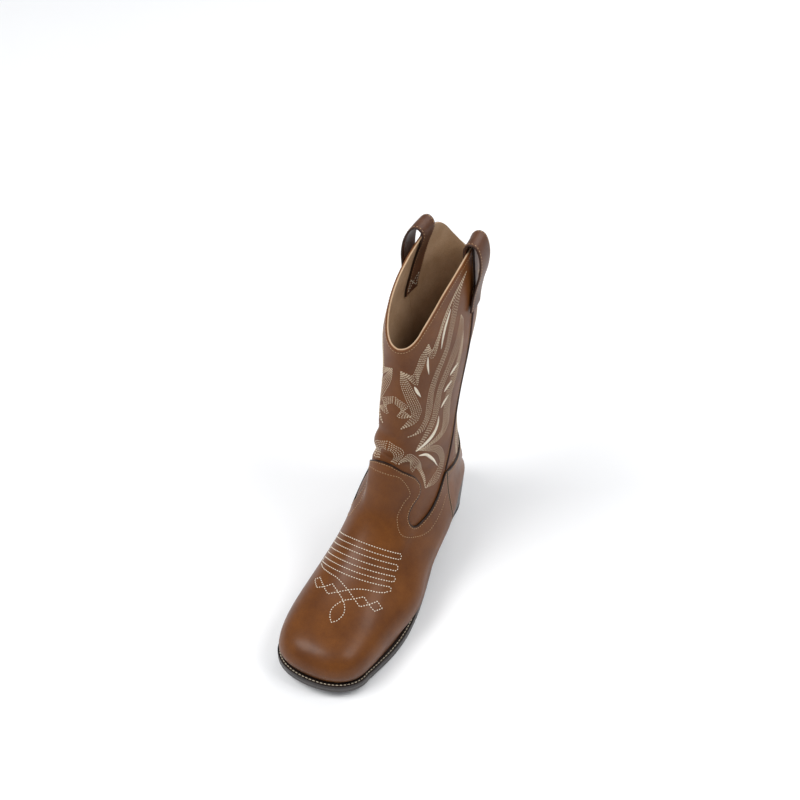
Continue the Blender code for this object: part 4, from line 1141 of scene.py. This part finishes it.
serpent = []
for n, (a, outer_end) in enumerate(BARS):
    ends = (INNER_REACH, outer_end) if n % 2 == 0 else (outer_end, INNER_REACH)
    serpent += [(a + BAR_CURVE * d * d, d) for d in np.linspace(*ends, 30)]
    below = BARS[n + 1][0] if n < len(BARS) - 1 else a - LAST_DROP
    top, d = serpent[-1]
    for u in (0.1, 0.3, 0.5, 0.7, 0.9):
        bulge = math.copysign(2.2 * math.sin(math.pi * u) ** 0.6, d)
        serpent.append((top - (a - below) * u, d + bulge))
plait = STROKES[0][:1]
for stroke in STROKES:
    plait += smooth_path(stroke, 1.0)[1:] if len(stroke) > 2 else stroke
stitch_rows("toe_stitches", "satin_thread", "tan_leather", [serpent, plait], VAMP_TOP, SEAM_PITCH,
            fill=0.66, width=0.85, tall=0.62)

# ------------------------------------------------------------------ embroidery
ROW_GAP = 2.5
SATIN_PITCH = 0.42
SATIN_LEAN = 0.35          # how far satin threads lean along their leaf
BACK_DROP = 16             # the back panel's pattern hangs lower than the front's
BACK_NARROW = 0.66         # and is narrower
# room that stitching leaves beside the vamp, the back panel's top line, the counter,
# the back line and the side seams
VAMP_ROOM, TOP_ROOM, COUNTER_ROOM, BACK_ROOM, SEAM_ROOM = 1.6, 5, 3, 1.5, 5
# bands of stitching on the outer half of the front panel: a band's two edges, from
# one point where its rows meet to the other
BANDS = [
    ([(335, 4), (319.5, 5), (303, 10.6), (289.5, 16.3), (283, 17), (277, 14), (267.6, 8.8)],
     [(335, 4), (323, 11.3), (307, 18.8), (292, 25.6), (284.5, 25), (277, 22.5), (267.6, 8.8)]),
    ([(335, 4), (333, 9), (331, 15), (341, 18.5), (352, 22), (362.6, 29.4)],
     [(335, 4), (328, 10), (320, 19), (330, 21), (349, 27.5), (362.6, 29.4)]),
    ([(362.6, 29.4), (354, 33.5), (362, 38.5), (380, 50), (391, 68), (397.6, 90)],
     [(362.6, 29.4), (350, 30), (347, 36), (371, 47.5), (387, 64), (397.6, 90)]),
    ([(397.6, 90), (388, 67.5), (371, 58.8), (349.5, 50), (332, 38.8), (314.5, 32.5),
      (297, 31.3), (279.5, 31.3), (266, 25), (260, 16.3)],
     [(397.6, 90), (387, 76), (368, 66), (347, 55), (327, 42), (308, 37), (289.5, 37.8),
      (272, 35), (266, 30), (260, 16.3)]),
    ([(365.8, 75.6), (349.5, 67.5), (334.5, 55), (316, 43.8), (296, 40.6), (279.5, 40.6),
      (263, 35), (246, 28)],
     [(365.8, 75.6), (357, 80), (342, 73.8), (324.5, 56.3), (308, 47.5), (289.5, 47.5),
      (273, 45.6), (258, 37.5), (246, 28)]),
    ([(349, 80), (332, 70), (313, 58), (298, 54.5), (283, 57), (269.5, 61), (262, 57.5),
      (250, 38), (246.5, 29)],
     [(349, 80), (334, 77.5), (316, 70), (300, 64.5), (284, 67), (269, 71.5), (257, 60),
      (249, 38), (246.5, 29)]),
    ([(247.5, 28), (251, 57.5), (243, 75), (231, 81.3), (217, 73.5), (210, 52.5)],
     [(247.5, 28), (245, 57), (236, 72), (227, 71), (217, 60), (210, 52.5)]),
    ([(228, 14), (237, 16), (243, 22.5), (235, 37), (221, 49), (210, 52.5)],
     [(228, 14), (235, 24), (224, 31), (228, 37), (218, 47), (210, 52.5)]),
    ([(283, 17), (289.5, 9.5), (293.5, 12.5), (297, 10.5), (303.5, 0)],
     [(283, 17), (281, 10), (281.5, 4.5), (290, 7), (296.5, 0)]),
    ([(227.6, 11.3), (241, 15), (246, 13.8), (248.5, 7.5), (251.4, 0)],
     [(227.6, 4), (232, 7.8), (239.5, 7), (243, 3), (242, 0)]),
]
# satin leaves: middle line and greatest width
LEAVES = [
    ([(381, 58.8), (371, 51.5), (361, 47), (350.5, 44)], 3.2),
    ([(349, 29), (340, 29), (329.5, 30.4)], 2.2),
    ([(318, 16.9), (312, 20), (306, 23.8)], 3.0),
    ([(319, 57), (322.5, 63), (324.5, 70)], 2.6),
    ([(305, 51), (309.5, 55.5), (312.6, 61)], 2.6),
    ([(289, 50.6), (294.5, 53.8), (299.5, 58.8)], 2.6),
    ([(281, 50), (274, 51.5), (267, 50.5), (260.5, 46.5), (254, 39.5), (246, 28.5)], 4.4),
    ([(242, 33), (242.8, 42.5), (240, 51), (236, 60), (230.8, 69.4)], 3.2),
]


def band_rows(edges):
    """Rows of stitching fanned evenly between a band's two edges."""
    first, last = [at_run(np.linspace(0, along(fine)[-1], 90), along(fine), fine)
                   for fine in [np.array(smooth_path(edge, 1.0)) for edge in edges]]
    wide = np.linalg.norm(last - first, axis=1).max()
    count = max(3, int(round(wide / ROW_GAP)) + 1)
    return [first + (last - first) * n / (count - 1) for n in range(count)]


def over_the_back(points):
    """The front pattern's places moved round to the back panel, reflected at the seam."""
    a, d = np.asarray(points, float).T
    seam = side_seam(np.clip(a, 225, 410))
    return np.stack([a - BACK_DROP, seam + (seam - d) * BACK_NARROW], 1)


back_top_line = spline(sorted((d, a) for a, d in TOP_LINE_BACK))
counter_line = spline([(d, a) for a, d in COUNTER_TOP])
notch_points = np.array(vamp_edge)
vamp_area = vamp_edge + [(224, 96), (150, 96), (150, -10), (228, -10)]


def on_back_panel(a, d):
    """Which places lie between the counter and the back panel's top line."""
    return (a < back_top_line(d) - TOP_ROOM) & (a > counter_line(d) + COUNTER_ROOM)


def runs_inside(row, allowed):
    """The unbroken stretches of a row that lie where stitching is allowed."""
    out = []
    start = None
    for n, good in enumerate(list(allowed) + [False]):
        if good and start is None:
            start = n
        if not good and start is not None:
            if n - start > 2:
                out.append(row[start:n])
            start = None
    return out


def clip_front(row):
    covered = inside(row, vamp_area) | (nearest(row, notch_points) < VAMP_ROOM)
    return runs_inside(row, ~covered & (row[:, 1] > 0.3))


def clip_back(row):
    a, d = row.T
    good = on_back_panel(a, d) & (d < girth_at(a, d) - BACK_ROOM)
    return runs_inside(row, good & (d > side_seam(a) + SEAM_ROOM))


panel_rows = {"front": [], "back": []}
for edges in BANDS:
    for row in band_rows(edges):
        panel_rows["front"] += clip_front(row)
    for row in band_rows([over_the_back(edge) for edge in edges]):
        panel_rows["back"] += clip_back(row)
for side, label in SIDES:
    for panel, rows in panel_rows.items():
        stitch_rows("embroidery_%s_%s" % (panel, label), "beige_thread", "shaft_leather",
                    [row * (1, side) for row in rows], SHAFT_TOP, pitch=2.4, fill=0.72, width=0.66,
                    tall=0.6)


def satin_leaves(name, side, lines):
    """Plump leaves filled with satin stitch: fine threads laid across side by side."""
    verts = []
    faces = []
    for line, wide in lines:
        run = along(line)
        count = int(run[-1] / SATIN_PITCH)
        part = (np.arange(count) + 0.5) / count
        middle = at_run(part * run[-1], run, line)
        half_wide = wide / 2 * np.sin(math.pi * part ** 0.85) ** 0.8 + 0.12
        across = sideways(middle)
        way = np.stack([across[:, 1], -across[:, 0]], 1)
        reach = unit(across + way * SATIN_LEAN) * half_wide[:, None]
        tails, heads = [on_skin(*((middle + reach * s) * (1, side)).T, SHAFT_TOP - 0.1)[0]
                        for s in (-1, 1)]
        centre, up = on_skin(*(middle * (1, side)).T, SHAFT_TOP + 0.02)
        spans = np.linalg.norm(heads - tails, axis=1)
        add_stitches(verts, faces, centre, tails, heads, up, spans, 0.52, 0.5,
                     np.minimum(1.6, spans * 0.5))
    add_piece(name, verts, faces, "shaft_leather", "satin_thread")


front_leaves = [(np.array(smooth_path(line, 0.5)), wide) for line, wide in LEAVES]
back_leaves = [(over_the_back(line), wide) for line, wide in front_leaves]
back_leaves = [(line, wide) for line, wide in back_leaves if on_back_panel(*line.T).all()]
for side, label in SIDES:
    satin_leaves("satin_leaves_front_" + label, side, front_leaves)
    satin_leaves("satin_leaves_back_" + label, side, back_leaves)


# ----------------------------------------------------------- welt and strap seams
welt_line = np.array(cut_loop(sole_loop(2.1), HEEL_BREAST + 6, True))
welt_line = np.column_stack([welt_line, feather_z(welt_line[:, 0]) + WELT_TOP + 0.15])
verts = []
faces = []
stitch_line(verts, faces, welt_line, np.tile((0.0, 0.0, 1.0), (len(welt_line), 1)),
            along(welt_line), pitch=3.6, fill=0.8, width=0.85, tall=0.6)
add_piece("welt_stitches", verts, faces, "welt_thread", None, ["welt_thread"])


def strap_stitches(name, look, side, rows):
    """Rows of stitches along (path, c) places on the outward face of a strap."""
    verts = []
    faces = []
    for path, c in rows:
        points, off = strap_places(side, path, c)
        off = -unit(off)
        stitch_line(verts, faces, points + off * (STRAP_THICK / 2 + 0.08), off, along(points),
                    pitch=2.7, fill=0.66, width=0.6, tall=0.5)
    add_piece(name, verts, faces, "strap_leather", look)


edge_rows = [(smooth_path(STRAP_PATH, 1.0), side * (STRAP_WIDTH / 2 - 1.9)) for side in (-1, 1)]
box_low, box_high = 3 - STRAP_INNER, 17 - STRAP_INNER
box_line = [(u, STRAP_PATH[0][1]) for u in np.linspace(box_low, box_high, 15)]
box_half = STRAP_WIDTH / 2 - 3.6
slant = np.linspace(-box_half, box_half, 15)
box_rows = [(box_line, c) for c in (-box_half, box_half, slant, -slant)]
for side, label in SIDES:
    strap_stitches("pull_strap_%s_edge_stitches" % label, "tan_thread", side, edge_rows)
    strap_stitches("pull_strap_%s_box_stitches" % label, "satin_thread", side, box_rows)


# -------------------------------------------------- what stays from the model
for entry in frame["record"]["subparts"]:
    if entry["node"] in frame["nodes"]:
        materials = frame["nodes"][entry["node"]].data.materials
        materials.clear()
        materials.append(LOOKS[entry["material_slot"]])


# ------------------------------------------------------------ stage and camera
def add_light(name, spot, target, size, energy):
    data = bpy.data.lights.new(name, "AREA")
    data.shape = "RECTANGLE"
    data.size, data.size_y = size
    data.energy = energy
    lamp = bpy.data.objects.new(name, data)
    lamp.location = spot
    way = Vector(target) - Vector(spot)
    lamp.rotation_euler = way.to_track_quat("-Z", "Y").to_euler()
    bpy.context.scene.collection.objects.link(lamp)


def floor_and_backdrop(front, back, half_wide, bend, top):
    """A pale floor that runs up into a backdrop, in metres."""
    profile = [(front, 0.0), (back, 0.0)]
    for n in range(1, 13):
        angle = math.pi / 2 * n / 12
        profile.append((back + bend * math.sin(angle), bend - bend * math.cos(angle)))
    profile.append((back + bend, top))
    verts = []
    for y, z in profile:
        verts += [(-half_wide, y, z), (half_wide, y, z)]
    faces = [(2 * n, 2 * n + 1, 2 * n + 3, 2 * n + 2) for n in range(len(profile) - 1)]
    mesh = bpy.data.meshes.new("floor")
    mesh.from_pydata(verts, [], faces)
    mesh.shade_smooth()
    look = Look("pale_floor")
    look.base(look.ramp(look.noise(4.0), 0.3, (0.90, 0.90, 0.90), 0.7, (0.92, 0.92, 0.918)))
    look.give(Roughness=0.85)
    mesh.materials.append(look.material)
    floor = bpy.data.objects.new("floor", mesh)
    bpy.context.scene.collection.objects.link(floor)


floor_and_backdrop(front=-6.0, back=3.0, half_wide=8.0, bend=1.5, top=6.0)
world = bpy.data.worlds.new("studio")
bpy.context.scene.world = world
world.use_nodes = True
world.node_tree.nodes["Background"].inputs["Color"].default_value = (0.92, 0.95, 1.0, 1)
world.node_tree.nodes["Background"].inputs["Strength"].default_value = 0.45
add_light("key", (-0.9, -0.9, 1.9), (0, 0, 0.12), (1.1, 1.1), 32)
add_light("fill", (1.1, 0.1, 1.7), (0, 0, 0.3), (0.8, 0.8), 13)
add_light("rim", (0.3, 1.6, 1.5), (0, 0, 0.15), (1.6, 0.8), 14)

camera = bpy.data.cameras.new("camera")
camera.lens = 67.68
camera.sensor_width = 36.0
camera.shift_x = 0.0381
camera.shift_y = -0.0049
camera.clip_start = 0.05
eye = bpy.data.objects.new("camera", camera)
eye.location = (0.3892, -0.8098, 1.1605)
eye.rotation_euler = (math.pi / 2 - 0.794, 0, 0.463)
bpy.context.scene.collection.objects.link(eye)
bpy.context.scene.camera = eye
bpy.context.scene.view_settings.view_transform = "Standard"
